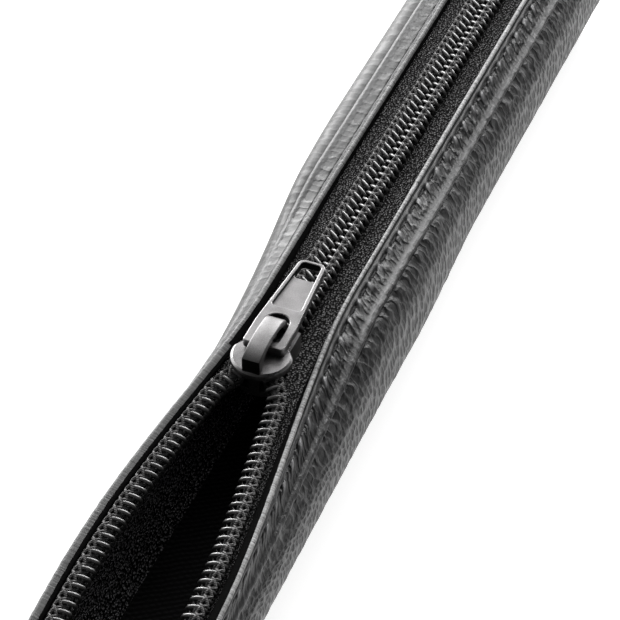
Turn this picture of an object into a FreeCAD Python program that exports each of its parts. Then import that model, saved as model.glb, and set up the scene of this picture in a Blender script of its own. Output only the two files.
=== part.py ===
"""A slim zip-topped leather case for fountain pens, half unzipped, as separate pieces.

The case lies along X with its far end at +X and the zip on top. The base is at z = 0.
"""
import FreeCAD
import Part
import Sketcher
import math
import os
import re

doc = FreeCAD.newDocument("PenCase")
sheet = doc.addObject("Spreadsheet::Sheet", "Sizes")
vector = FreeCAD.Vector

# Places of the cross-sections, as parts of the near run, the mouth, the lead and the far run
NEAR_PARTS = (0, 0.2, 0.4, 0.6, 0.8)
MOUTH_PARTS = (1, 0.75, 0.5, 0.3, 0.15)
LEAD_PARTS = (0, 0.5, 1)
FAR_PARTS = (0.25, 0.42, 1)
FORK_PARTS = (1, 0.75, 0.5, 0.25)

# Two points closer than this count as one
TOUCH = 0.01

# Driving sizes in millimetres, with what each one measures
SIZES = [
    ("case_length", 216.0, "over the two end panels"),
    ("case_height", 21.0, "base to the top of the lips"),
    ("base_width", 11.0, "flat strip that the case rests on"),
    ("belly_height", 9.6, "height of the widest line of the wall"),
    ("left_far_width", 13.3, "zip line to the left wall, far half"),
    ("left_waist_width", 10.1, "zip line to the left wall, beside the slider"),
    ("left_near_width", 12.2, "zip line to the left wall, near end"),
    ("right_far_width", 11.4, "zip line to the right wall, far half"),
    ("right_mouth_width", 13.3, "zip line to the right wall, beside the open mouth"),
    ("right_near_width", 12.4, "zip line to the right wall, near end"),
    ("settle_at", 51.0, "place beyond which the far half keeps its width"),
    ("swell_at", 18.0, "place of the right wall's swell behind the slider"),
    ("right_swell_width", 12.55, "zip line to the right wall at its swell"),
    ("wall_strips", 4, "flat strips round each quarter of a wall"),
    ("turn_share", 0.45, "how far the wall keeps its slope at the band and at the base"),
    ("belly_share", 0.5, "how far the wall stays upright above and below its widest line"),
    ("leather", 1.2, "leather thickness"),
    ("lip_rise", 0.35, "how far the doubled lip stands proud of the wall"),
    ("lip_band", 4.8, "width of the doubled lip"),
    ("band_share", 0.7, "part of the room beside the zip that the band spans"),
    ("flat_share", 0.985, "largest part of the band's width that lies level"),
    ("lining_thick", 0.5, "lining thickness"),
    ("layer_gap", 0.12, "clearance between sewn layers"),
    ("end_thick", 1.5, "thickness of a leather end panel"),
    ("end_bevel", 0.6, "bevel along an end panel's rim"),
    ("lip_gap", 11.0, "between the lips where the zip is closed"),
    ("slider_at", -6.0, "place of the chain's fork, inside the slider, along the case"),
    ("left_lead", 6.6, "how far behind the fork the left lip starts to part"),
    ("left_spread", 3.7, "left lip's outward move at its widest"),
    ("left_peak", 38.4, "fork to the left lip's widest place"),
    ("right_lead", 11.6, "how far behind the fork the right lip starts to part"),
    ("right_spread", 7.68, "right lip's outward move at its widest"),
    ("right_peak", 53.4, "fork to the right lip's widest place"),
    ("lip_slope", 0.09, "slope at which a lip leaves the closed line"),
    ("left_coil_spread", 1.2, "extra outward move of the left coil beside its lip"),
    ("right_coil_spread", 1.0, "extra outward move of the right coil beside its lip"),
    ("fork_run", 9.0, "length over which the coils part"),
    ("zip_margin", 8.0, "end of the case to the end of a coil"),
    ("coil_pitch", 1.5, "tooth to tooth along one coil"),
    ("coil_reach", 2.6, "chain centre to the back of a coil"),
    ("coil_spine", 0.6, "width of the return turns at the back of a coil"),
    ("coil_height", 2.0, "thickness of a coil"),
    ("interlock", 0.4, "how far a tooth reaches past the chain centre"),
    ("tooth_width", 0.6, "width of a tooth along the chain"),
    ("tooth_nose", 0.25, "taper of a tooth's head"),
    ("tape_thick", 0.6, "tape thickness"),
    ("tape_edge", 0.75, "chain centre to the inner edge of a tape"),
    ("tape_share", 0.45, "part of the upper wall that the tape hangs down"),
    ("lining_drop", 0.04, "part of the upper wall left bare between tape and lining"),
    ("slide_gap", 0.25, "running clearance round the chain in the slider"),
    ("plate_thick", 1.0, "slider's top plate"),
    ("floor_thick", 0.9, "slider's bottom plate"),
    ("shoulder_radius", 4.2, "slider's round front"),
    ("shoulder_back", 2.0, "centre of the round front, ahead of the chain's fork"),
    ("floor_back", 1.4, "bottom plate's round front, set back from the top plate's"),
    ("tail_length", 5.2, "fork to the slider's rear edge"),
    ("flange_thick", 0.6, "slider's side flange"),
    ("flange_front", 1.0, "fork to the front of a flange"),
    ("post_front", 4.8, "fork to the front of the dividing post"),
    ("post_tip", 3.2, "fork to the rear of the dividing post"),
    ("post_width", 1.5, "dividing post at its front"),
    ("post_tip_width", 0.3, "dividing post at its rear"),
    ("plate_bevel", 0.3, "bevel along the slider's top edge"),
    ("crown_width", 2.6, "width of the crown strap"),
    ("crown_thick", 0.8, "thickness of the crown strap"),
    ("crown_front", 5.9, "fork to the crown's front face"),
    ("crown_back", 3.8, "fork to the crown's rear foot"),
    ("crown_height", 3.1, "crown above the top plate"),
    ("crown_shoulder", 1.7, "slope of the crown at each end"),
    ("crown_nose_height", 2.1, "height of the crown's front and rear faces"),
    ("crown_round", 0.5, "rounding along the crown's bends"),
    ("crown_inset", 0.3, "inner bends of the crown, set in from its outer bends"),
    ("pawl_thick", 0.3, "locking spring's leaf"),
    ("pawl_width", 1.2, "width of the locking spring"),
    ("pin_width", 0.7, "locking pin along the chain"),
    ("pin_at", 1.3, "fork to the locking pin"),
    ("pin_gap", 0.15, "clearance round the locking pin"),
    ("pull_axis", 1.2, "fork to the pull's pivot, towards the nose"),
    ("pull_length", 17.5, "pivot to the tip of the pull"),
    ("pull_width", 5.9, "pull across its arms"),
    ("pull_tip_width", 3.8, "pull across its tip"),
    ("pull_thick", 1.2, "pull thickness"),
    ("pull_gap", 0.2, "pull above the top plate"),
    ("bar_round", 0.5, "rounding of the pull's crossbar"),
    ("pull_straight", 4.0, "pivot to the start of the taper"),
    ("eye_width", 3.4, "eye round the crown"),
    ("eye_length", 6.0, "pivot to the rear of the eye"),
    ("pull_rim", 0.55, "rim round the sunk face and the tip hole"),
    ("face_start", 7.4, "pivot to the sunk face"),
    ("face_depth", 0.25, "depth of the sunk face"),
    ("tip_hole", 2.9, "length of the hole in the tip"),
    ("tip_round", 0.9, "corner radius of the tip"),
    ("stop_length", 2.2, "end stop along the chain"),
    ("stop_wall", 0.6, "end stop above and below the tape"),
    ("stop_width", 2.6, "end stop across one tape"),
]
for row, (alias, value, note) in enumerate(SIZES, start=1):
    sheet.set("A%d" % row, alias)
    sheet.set("B%d" % row, str(value))
    sheet.set("C%d" % row, note)
    sheet.setAlias("B%d" % row, alias)

# Heights that follow from the sizes
FOLLOWS = [
    ("tube_end", "case_length / 2 - end_thick"),
    ("tape_top", "case_height - leather - lip_rise - layer_gap"),
    ("tape_under", "tape_top - tape_thick"),
    ("coil_top", "tape_top + layer_gap + coil_height"),
    ("plate_under", "coil_top + slide_gap"),
    ("plate_top", "plate_under + plate_thick"),
    ("floor_top", "tape_under - slide_gap"),
    ("floor_under", "floor_top - floor_thick"),
    ("flange_under", "tape_top + slide_gap"),
    ("tail_half", "coil_reach + slide_gap + flange_thick"),
    ("coil_end", "case_length / 2 - zip_margin"),
    ("pivot_height", "plate_top + pull_gap + pull_thick / 2"),
]
for row, (alias, rule) in enumerate(FOLLOWS, start=len(SIZES) + 2):
    sheet.set("A%d" % row, alias)
    sheet.set("B%d" % row, "=" + rule)
    sheet.setAlias("B%d" % row, alias)
doc.recompute()


def size(alias):
    """Value of one cell of the sheet."""
    return float(sheet.get(alias))


# Lips, coils and walls along the case

def ramp(place, start, peak, end, height, slope):
    """Rise from 0 at start to height at peak, then fall back to 0 at end (start > peak > end)."""
    if place >= start or place <= end:
        return 0.0
    if place >= peak:
        run = start - peak
        part = (start - place) / run
        lead = slope * run * (part ** 3 - 2 * part ** 2 + part)
        return lead + height * (3 * part ** 2 - 2 * part ** 3)
    part = (place - end) / (peak - end)
    return height * (3 * part ** 2 - 2 * part ** 3)


def lip_shift(place, side):
    """How far a lip has moved outward from the closed line."""
    fork = size("slider_at")
    name = "left" if side > 0 else "right"
    start = fork + size(name + "_lead")
    peak = fork - size(name + "_peak")
    return ramp(place, start, peak, -size("tube_end"), size(name + "_spread"), size("lip_slope"))


def coil_shift(place, side):
    """How far a coil and its tape edge have moved outward from the closed chain."""
    part = min(max((size("slider_at") - place) / size("fork_run"), 0), 1)
    parted = 3 * part ** 2 - 2 * part ** 3
    spread = size("left_coil_spread" if side > 0 else "right_coil_spread")
    return parted * (lip_shift(place, side) + spread)


def eased(place, keys):
    """Smooth steps through (place, value) keys given from the far end to the near end."""
    if place >= keys[0][0]:
        return keys[0][1]
    for (far, high), (near, low) in zip(keys, keys[1:]):
        if place >= near:
            part = (far - place) / (far - near)
            return high + (low - high) * (3 * part ** 2 - 2 * part ** 3)
    return keys[-1][1]


def wall_width(place, side):
    """Distance from the zip line to the widest line of a wall."""
    fork = size("slider_at")
    far = size("settle_at")
    near = -size("tube_end")
    if side > 0:
        return eased(place, [(far, size("left_far_width")), (fork, size("left_waist_width")),
                             (near, size("left_near_width"))])
    middle = fork - size("right_peak")
    return eased(place, [(far, size("right_far_width")), (size("swell_at"), size("right_swell_width")),
                         (middle, size("right_mouth_width")), (near, size("right_near_width"))])


class Wall:
    """One side of the cross-section at a place along the case, as (y, z) points."""

    def __init__(self, place, side):
        self.side = side
        self.place = place
        self.lip = size("lip_gap") / 2 + lip_shift(place, side)
        self.width = max(wall_width(place, side), self.lip + size("layer_gap"))
        band = size("lip_band")
        run = min(size("band_share") * (self.width - self.lip), size("flat_share") * band)
        self.along = (run / band, -math.sqrt(1 - (run / band) ** 2))
        self.inward = (self.along[1], -self.along[0])

    def at(self, y, z):
        return vector(self.place, self.side * y, z)

    def band_point(self, distance, inset):
        """Point on the lip band, measured from the lip edge, set in from the outer face."""
        y = self.lip + distance * self.along[0] + inset * self.inward[0]
        z = size("case_height") + distance * self.along[1] + inset * self.inward[1]
        return y, z

    def upper(self, inset):
        """Four poles from the end of the lip band to the widest line."""
        y, z = self.band_point(size("lip_band"), size("lip_rise") + inset)
        wide = self.width - inset
        belly = size("belly_height")
        reach = size("turn_share") * math.hypot(wide - y, z - belly)
        turn = (y + reach * self.along[0], z + reach * self.along[1])
        upright = belly + size("belly_share") * (z - belly)
        return [(y, z), (min(turn[0], wide), turn[1]), (wide, upright), (wide, belly)]

    def lower(self, inset):
        """Four poles from the widest line to the edge of the flat base."""
        wide = self.width - inset
        belly = size("belly_height")
        foot = size("base_width") / 2
        upright = inset + size("turn_share") * (belly - inset)
        level = foot + size("belly_share") * (wide - foot)
        return [(wide, belly), (wide, upright), (level, inset), (foot, inset)]

    def points(self, pairs):
        return [self.at(y, z) for y, z in pairs]

    def flat_meet(self, height, inset):
        """Where the under face of the lip band comes down to a height."""
        y, z = self.band_point(0, inset)
        return self.band_point((z - height) / -self.along[1], inset)


def split(poles, share):
    """The two halves of a four-pole curve cut at a share of its length."""
    levels = [poles]
    while len(levels[-1]) > 1:
        row = levels[-1]
        levels.append([((1 - share) * a[0] + share * b[0], (1 - share) * a[1] + share * b[1])
                       for a, b in zip(row, row[1:])])
    return [row[0] for row in levels], [row[-1] for row in reversed(levels)]


def line(start, end):
    return Part.LineSegment(start, end).toShape()


def bend(poles):
    """Flat strips along a four-pole curve."""
    curve = Part.BezierCurve()
    curve.setPoles(poles)
    count = int(size("wall_strips"))
    points = [curve.value(number / count) for number in range(count + 1)]
    return [line(start, end) for start, end in zip(points, points[1:])]


def closed(edges):
    return Part.Wire(edges)


def polygon(points):
    return Part.makePolygon(points + points[:1])


def stations():
    """Places of the cross-sections, closer together beside the slider and the mouth."""
    fork = size("slider_at")
    end = size("tube_end")
    peak = fork - size("right_peak")
    near = [-end + (peak + end) * part for part in NEAR_PARTS]
    mouth = [fork - size("right_peak") * part for part in MOUTH_PARTS]
    lead = [fork + size("right_lead") * part for part in LEAD_PARTS]
    far = [fork + (end - fork) * part for part in FAR_PARTS]
    return near + mouth + lead + far


def fork_stations():
    """The cross-sections with more of them where the coils part."""
    fork = [size("slider_at") - size("fork_run") * part for part in FORK_PARTS]
    return sorted(set(stations() + fork))


def side_run(wall, inset, upward, start=0):
    """Edges of one wall at an inset, from a part of its upper curve down to the base, or back up."""
    upper = wall.points(split(wall.upper(inset), start)[1])
    lower = wall.points(wall.lower(inset))
    if upward:
        return bend(lower[::-1]) + bend(upper[::-1])
    return bend(upper) + bend(lower)


def leather_section(place):
    left = Wall(place, 1)
    right = Wall(place, -1)
    thick = size("leather")
    band = size("lip_band")
    double = thick + size("lip_rise")

    def band_at(wall, distance, inset):
        return wall.at(*wall.band_point(distance, inset))

    def outer_step(wall):
        return [band_at(wall, 0, 0), band_at(wall, band, 0), band_at(wall, band, size("lip_rise"))]

    edges = []
    lip, ridge, groove = outer_step(left)
    edges += [line(lip, ridge), line(ridge, groove)] + side_run(left, 0, False)
    edges.append(line(left.at(*left.lower(0)[-1]), right.at(*right.lower(0)[-1])))
    other_lip, other_ridge, other_groove = outer_step(right)
    edges += side_run(right, 0, True) + [line(other_groove, other_ridge), line(other_ridge, other_lip)]
    under_lip = band_at(right, 0, double)
    edges.append(line(other_lip, under_lip))
    edges.append(line(under_lip, band_at(right, band, double)))
    edges += side_run(right, thick, False)
    edges.append(line(right.at(*right.lower(thick)[-1]), left.at(*left.lower(thick)[-1])))
    edges += side_run(left, thick, True)
    edges.append(line(band_at(left, band, double), band_at(left, 0, double)))
    edges.append(line(band_at(left, 0, double), lip))
    return closed(edges)


def tape_section(place, side):
    wall = Wall(place, side)
    gap = size("layer_gap")
    thick = size("tape_thick")
    double = size("leather") + size("lip_rise")
    inner = size("tape_edge") + coil_shift(place, side)

    def path(inset, height):
        fold = wall.flat_meet(height, double + inset)
        hang = split(wall.upper(size("leather") + inset), size("tape_share"))[0]
        return [(inner, height), fold, hang[0], hang[-1]]

    top = path(gap, size("tape_top"))
    under = path(gap + thick, size("tape_under"))
    return polygon(wall.points(top + under[::-1]))


def lining_section(place):
    left = Wall(place, 1)
    right = Wall(place, -1)
    outer = size("leather") + size("layer_gap")
    share = size("tape_share") + size("lining_drop")

    def base(wall, inset):
        return wall.at(*wall.lower(inset)[-1])

    def top(wall, inset):
        return wall.at(*split(wall.upper(inset), share)[1][0])

    inner = outer + size("lining_thick")
    edges = side_run(left, outer, False, share) + [line(base(left, outer), base(right, outer))]
    edges += side_run(right, outer, True, share) + [line(top(right, outer), top(right, inner))]
    edges += side_run(right, inner, False, share) + [line(base(right, inner), base(left, inner))]
    edges += side_run(left, inner, True, share) + [line(top(left, inner), top(left, outer))]
    return closed(edges)


def rim_wire(place, inset, height):
    """Closed outline of the tube at an inset, with a straight top between the lips."""
    left = Wall(place, 1)
    right = Wall(place, -1)

    def ends(wall):
        groove = wall.at(*wall.upper(inset)[0])
        lip = wall.at(*wall.flat_meet(height, inset) if height else wall.band_point(0, inset))
        return groove, lip

    left_groove, left_lip = ends(left)
    right_groove, right_lip = ends(right)
    edges = [line(left_lip, left_groove)] + side_run(left, inset, False)
    edges.append(line(left.at(*left.lower(inset)[-1]), right.at(*right.lower(inset)[-1])))
    edges += side_run(right, inset, True) + [line(right_groove, right_lip), line(right_lip, left_lip)]
    return closed(edges)


def feature(label, shape):
    """A piece whose form is worked out from the sheet's sizes."""
    piece = doc.addObject("Part::Feature", label)
    piece.Label = label
    piece.Shape = shape
    piece.Placement = FreeCAD.Placement()
    return piece


def lofted(label, wires):
    return feature(label, Part.makeLoft(wires, True, True))


# Leather, lining and end panels

pieces = []
places = stations()
pieces.append(lofted("body_panel", [leather_section(place) for place in places]))
pieces.append(lofted("body_lining", [lining_section(place) for place in places]))

for end_name, way in (("near", -1), ("far", 1)):
    face_at = way * size("tube_end")
    outline = Part.Face(rim_wire(face_at, 0, 0))
    plate = outline.extrude(vector(way * size("end_thick"), 0, 0))
    outer_face = max(plate.Faces, key=lambda face: way * face.CenterOfMass.x)
    pieces.append(feature(end_name + "_end_panel", plate.makeChamfer(size("end_bevel"), outer_face.Edges)))
    inset = size("leather") + size("lip_rise") + 2 * size("layer_gap") + size("lining_thick")
    inside = Part.Face(rim_wire(face_at, inset + size("tape_thick"), size("floor_under")))
    disc = inside.extrude(vector(-way * size("lining_thick"), 0, 0))
    pieces.append(feature(end_name + "_end_lining", disc))

# Zip tapes and toothed coils


def coil_face(side):
    """Flat outline of one coil: a spine that follows the tape, with a tooth at each turn."""
    end = size("coil_end")
    pitch = size("coil_pitch")
    count = int(2 * end / pitch) - 1
    half = size("tooth_width") / 2
    nose = size("tooth_nose")
    reach = size("coil_reach")
    root = reach - size("coil_spine")
    tip = -size("interlock")

    def spot(place, y):
        return vector(place, side * (y + coil_shift(place, side)), size("tape_top") + size("layer_gap"))

    points = []
    start = -end + pitch * (0.5 if side > 0 else 1.0)
    for number in range(count):
        centre = start + number * pitch
        points += [spot(centre - half, root), spot(centre - half, tip + nose),
                   spot(centre - nose / 2, tip), spot(centre + nose / 2, tip),
                   spot(centre + half, tip + nose), spot(centre + half, root)]
    back = [spot(start + number * pitch - half, reach) for number in range(count)]
    back.append(spot(start + (count - 1) * pitch + half, reach))
    return Part.Face(polygon(points + back[::-1]))


for side_name, side in (("left", 1), ("right", -1)):
    pieces.append(lofted("tape_" + side_name, [tape_section(place, side) for place in fork_stations()]))
    coil = coil_face(side).extrude(vector(0, 0, size("coil_height")))
    pieces.append(feature("coil_" + side_name, coil))


# Slider: bodies made from sketches bound to the sheet

def sheet_value(rule):
    """Number that a rule written in the sheet's aliases stands for."""
    return float(sheet.evalExpression(rule))


def bound(target, path, rule):
    """Tie one property to a rule written in the sheet's aliases."""
    words = re.sub(r"[a-z_]+", lambda word: "Sizes." + word.group(), rule)
    target.setExpression(path, words)


def new_body(label, place):
    """An empty body at a place along the case."""
    body = doc.addObject("PartDesign::Body", label)
    body.Label = label
    bound(body, "Placement.Base.x", place)
    return body


def new_sketch(body, name, role, height):
    sketch = body.newObject("Sketcher::SketchObject", name)
    plane = [item for item in body.Origin.OriginFeatures if item.Role == role][0]
    sketch.AttachmentSupport = [(plane, "")]
    sketch.MapMode = "FlatFace"
    bound(sketch, "AttachmentOffset.Base.z", height)
    return sketch


def held(sketch, kind, index, spot, rule):
    """Add one dimension to a sketch and tie it to a rule."""
    value = sheet_value(rule)
    if spot:
        number = sketch.addConstraint(Sketcher.Constraint(kind, index, spot, value))
    else:
        number = sketch.addConstraint(Sketcher.Constraint(kind, index, value))
    bound(sketch, "Constraints[%d]" % number, rule)


def draw(sketch, corners):
    """Closed outline of straight edges; each corner is a pair of rules."""
    count = len(corners)
    spots = [vector(sheet_value(across), sheet_value(up), 0) for across, up in corners]
    for index in range(count):
        sketch.addGeometry(Part.LineSegment(spots[index], spots[(index + 1) % count]), False)
    for index in range(count):
        sketch.addConstraint(Sketcher.Constraint("Coincident", index, 2, (index + 1) % count, 1))
    for index, (across, up) in enumerate(corners):
        held(sketch, "DistanceX", index, 1, across)
        held(sketch, "DistanceY", index, 1, up)


def draw_circle(sketch, across, radius):
    """A circle centred on the sketch's horizontal axis."""
    centre = vector(sheet_value(across), 0, 0)
    sketch.addGeometry(Part.Circle(centre, vector(0, 0, 1), sheet_value(radius)), False)
    sketch.addConstraint(Sketcher.Constraint("PointOnObject", 0, 3, -1))
    held(sketch, "DistanceX", 0, 3, across)
    held(sketch, "Radius", 0, 0, radius)


def grown(body, sketch, kind, depth, downward=False, middle=False):
    """Pad or pocket a sketch by a depth given as a rule."""
    step = body.newObject("PartDesign::" + kind, sketch.Name + "_" + kind)
    step.Profile = sketch
    bound(step, "Length", depth)
    step.Reversed = downward
    if middle:
        step.SideType = "Symmetric"
    doc.recompute()
    return step


def dressed(body, base, kind, edges, amount):
    """Fillet or chamfer the named edges of the last step."""
    step = body.newObject("PartDesign::" + kind, base.Name + "_" + kind)
    step.Base = (base, edges)
    bound(step, "Radius" if kind == "Fillet" else "Size", amount)
    doc.recompute()
    return step


def edge_names(step, wanted):
    """Names of the edges whose two ends and middle all pass a test."""
    names = []
    for number, edge in enumerate(step.Shape.Edges, start=1):
        spots = [vertex.Point for vertex in edge.Vertexes] + [edge.CenterOfMass]
        if all(wanted(spot) for spot in spots):
            names.append("Edge%d" % number)
    return names


def box_corners(rear, front, low, high):
    return [(rear, low), (front, low), (front, high), (rear, high)]


def near_to(value, rule):
    return abs(value - sheet_value(rule)) < TOUCH


def slider_body():
    """Top and bottom plates joined by the dividing post, with a flange down each side."""
    body = new_body("slider_body", "slider_at")
    tail = box_corners("-shoulder_back", "tail_length", "-tail_half", "tail_half")
    plates = (("floor", "floor_under", "floor_thick", "floor_back - shoulder_back"),
              ("plate", "plate_under", "plate_thick", "-shoulder_back"))
    for name, height, depth, centre in plates:
        if name == "plate":
            post = new_sketch(body, "post", "XY_Plane", "floor_top")
            draw(post, [("-post_front", "-post_width / 2"), ("-post_tip", "-post_tip_width / 2"),
                        ("-post_tip", "post_tip_width / 2"), ("-post_front", "post_width / 2")])
            grown(body, post, "Pad", "plate_under - floor_top")
        disc = new_sketch(body, name + "_disc", "XY_Plane", height)
        draw_circle(disc, centre, "shoulder_radius")
        grown(body, disc, "Pad", depth)
        strip = new_sketch(body, name + "_tail", "XY_Plane", height)
        draw(strip, tail)
        last = grown(body, strip, "Pad", depth)
    rim = edge_names(last, lambda spot: near_to(spot.z, "plate_top"))
    dressed(body, last, "Chamfer", rim, "plate_bevel")
    for name, low, high in (("left_flange", "tail_half - flange_thick", "tail_half"),
                            ("right_flange", "-tail_half", "flange_thick - tail_half")):
        flange = new_sketch(body, name, "XY_Plane", "plate_under")
        draw(flange, box_corners("-flange_front", "tail_length", low, high))
        grown(body, flange, "Pad", "plate_under - flange_under", downward=True)
    hole = new_sketch(body, "pin_hole", "XY_Plane", "plate_top")
    draw(hole, box_corners("pin_at - pin_width / 2 - pin_gap", "pin_at + pin_width / 2 + pin_gap",
                           "-pawl_width / 2 - pin_gap", "pawl_width / 2 + pin_gap"))
    grown(body, hole, "Pocket", "plate_thick")
    return body


def slider_crown():
    """Arched strap over the top plate that traps the pull's crossbar."""
    body = new_body("slider_crown", "slider_at")
    arch = new_sketch(body, "arch", "XZ_Plane", "0")
    nose = "plate_top + crown_nose_height"
    top = "plate_top + crown_height"
    outer = [("-crown_front", "plate_top"), ("-crown_front", nose), ("crown_shoulder - crown_front", top),
             ("crown_back - crown_shoulder", top), ("crown_back", nose), ("crown_back", "plate_top")]
    back = "crown_back - crown_thick"
    front = "crown_thick - crown_front"
    roof = top + " - crown_thick"
    inner_nose = nose + " - crown_inset"
    inner = [(back, "plate_top"), (back, inner_nose), ("crown_back - crown_shoulder - crown_inset", roof),
             ("crown_shoulder + crown_inset - crown_front", roof), (front, inner_nose), (front, "plate_top")]
    draw(arch, outer + inner)
    strap = grown(body, arch, "Pad", "crown_width", middle=True)
    bends = [(-size("crown_front"), sheet_value(nose)), (sheet_value(outer[2][0]), sheet_value(top)),
             (sheet_value(outer[3][0]), sheet_value(top)), (size("crown_back"), sheet_value(nose))]

    def on_bend(spot):
        return any(math.hypot(spot.x - x, spot.z - z) < TOUCH for x, z in bends)

    dressed(body, strap, "Fillet", edge_names(strap, on_bend), "crown_round")
    return body


def lock_spring():
    """Leaf under the crown whose bent end is the locking pin."""
    body = new_body("lock_spring", "slider_at")
    profile = new_sketch(body, "leaf", "XZ_Plane", "0")
    top = "plate_top + crown_height - crown_thick - layer_gap"
    under = top + " - pawl_thick"
    front = "crown_shoulder + crown_thick - crown_front"
    pin_front = "pin_at - pin_width / 2"
    pin_back = "pin_at + pin_width / 2"
    tip = "coil_top + layer_gap"
    draw(profile, [(front, under), (pin_front, under), (pin_front, tip), (pin_back, tip),
                   (pin_back, top), (front, top)])
    grown(body, profile, "Pad", "pawl_width", middle=True)
    return body


def pull_half(place):
    """Rule for half the pull's width at a distance from its pivot."""
    slope = "(pull_tip_width - pull_width) / (2 * (pull_length - pull_straight))"
    return "pull_width / 2 + " + slope + " * (" + place + " - pull_straight)"


def pull_tab():
    """Tapered pull with an eye round the crown, a sunk face and a hole in its tip."""
    body = new_body("pull_tab", "slider_at - pull_axis")
    outline = new_sketch(body, "outline", "XY_Plane", "plate_top + pull_gap")
    half = "pull_width / 2"
    tip_half = "pull_tip_width / 2"
    draw(outline, [("-pull_thick / 2", "-" + half), ("pull_straight", "-" + half),
                   ("pull_length", "-" + tip_half), ("pull_length", tip_half),
                   ("pull_straight", half), ("-pull_thick / 2", half)])
    plate = grown(body, outline, "Pad", "pull_thick")

    def on_bar(spot):
        return near_to(spot.x, "-pull_thick / 2") and not near_to(spot.z, "pivot_height")

    def on_tip_corner(spot):
        return near_to(spot.x, "pull_length") and near_to(abs(spot.y), tip_half)

    plate = dressed(body, plate, "Fillet", edge_names(plate, on_bar), "bar_round")
    dressed(body, plate, "Fillet", edge_names(plate, on_tip_corner), "tip_round")
    top = "plate_top + pull_gap + pull_thick"
    eye_end = "eye_length - eye_width / 2"
    eye = new_sketch(body, "eye", "XY_Plane", top)
    draw(eye, box_corners("pull_thick / 2", eye_end, "-eye_width / 2", "eye_width / 2"))
    grown(body, eye, "Pocket", "pull_thick")
    arc = new_sketch(body, "eye_end", "XY_Plane", top)
    draw_circle(arc, eye_end, "eye_width / 2")
    grown(body, arc, "Pocket", "pull_thick")
    tip_edge = "pull_length - pull_rim"
    for name, start, depth in (("face", "face_start", "face_depth"),
                               ("tip_window", tip_edge + " - tip_hole", "pull_thick")):
        sketch = new_sketch(body, name, "XY_Plane", top)
        near_half = pull_half(start) + " - pull_rim"
        far_half = pull_half(tip_edge) + " - pull_rim"
        draw(sketch, [(start, "-(" + near_half + ")"), (tip_edge, "-(" + far_half + ")"),
                      (tip_edge, far_half), (start, near_half)])
        grown(body, sketch, "Pocket", depth)
    return body


pieces += [slider_body(), slider_crown(), lock_spring(), pull_tab()]


# End stops, each clamped round the tape

def clamp(place, low, high, slots):
    """Block across the chain with a slot for each tape edge, given as (inner, outer) y values."""
    gap = size("layer_gap") / 2
    under = size("tape_under") - gap
    slot_height = size("tape_thick") + 2 * gap
    wall = size("stop_wall")
    length = size("stop_length")
    block = Part.makeBox(length, high - low, slot_height + 2 * wall, vector(place, low, under - wall))
    for start, end in slots:
        block = block.cut(Part.makeBox(length, end - start, slot_height, vector(place, start, under)))
    return block.removeSplitter()


grip = size("stop_width")
edge = size("tape_edge") - size("layer_gap")
for side_name, side in (("left", 1), ("right", -1)):
    near_place = -size("coil_end") - size("stop_length")
    inner = edge + coil_shift(near_place, side)
    outer = inner - size("stop_wall") + grip
    span = sorted((side * (inner - size("stop_wall")), side * outer))
    slot = tuple(sorted((side * inner, side * outer)))
    pieces.append(feature("top_stop_" + side_name, clamp(near_place, span[0], span[1], [slot])))
pieces.append(feature("bottom_stop", clamp(size("coil_end"), -grip, grip, [(edge, grip), (-grip, -edge)])))

# Check every object, then write one file for each piece

doc.recompute()
for item in doc.Objects:
    if "Invalid" in item.State or "Error" in item.State:
        raise RuntimeError("failed object: " + item.Label)
os.makedirs("parts", exist_ok=True)
for piece in pieces:
    if piece.Shape.isNull() or not piece.Shape.isValid():
        raise RuntimeError("bad shape: " + piece.Label)
    piece.Shape.exportStep("parts/" + piece.Label + ".step")
    print("%-18s %2d solids %9.2f mm3" % (piece.Label, len(piece.Shape.Solids), piece.Shape.Volume))
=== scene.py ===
# %% [markdown]
# A slim leather case for fountain pens, with a coil zip along its top.
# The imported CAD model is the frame: it says where every piece sits and how the slider moves.
# This script dresses it. Leather, lining, tapes and coils are soft, so meshes replace them.

# %% Load the frame
import math

import bmesh
import bpy
import numpy as np
from mathutils import Matrix, Vector, noise


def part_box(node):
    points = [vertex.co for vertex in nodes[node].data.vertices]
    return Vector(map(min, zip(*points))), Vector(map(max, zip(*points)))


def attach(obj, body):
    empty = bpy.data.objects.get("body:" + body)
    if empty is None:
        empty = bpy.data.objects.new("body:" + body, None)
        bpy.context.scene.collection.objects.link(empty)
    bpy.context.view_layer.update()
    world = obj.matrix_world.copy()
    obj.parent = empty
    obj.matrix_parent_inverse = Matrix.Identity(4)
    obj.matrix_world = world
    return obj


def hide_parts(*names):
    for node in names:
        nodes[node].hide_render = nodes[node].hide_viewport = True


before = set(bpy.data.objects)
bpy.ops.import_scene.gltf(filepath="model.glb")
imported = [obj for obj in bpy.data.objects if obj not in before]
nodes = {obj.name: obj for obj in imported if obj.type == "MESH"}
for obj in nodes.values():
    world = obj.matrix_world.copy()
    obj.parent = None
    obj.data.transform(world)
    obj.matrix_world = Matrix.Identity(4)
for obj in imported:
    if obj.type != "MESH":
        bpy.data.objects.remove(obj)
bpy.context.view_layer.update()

MM = 0.001
print("nodes in the frame:", len(nodes))

# %% [markdown]
# Sizes come first. Heights and ends are read from the CAD nodes, so they follow the frame.
# The rules that bend the lips and part the coils are the same as in the CAD source, in
# millimetres, because the leather has to lie where its solid lies.

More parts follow.
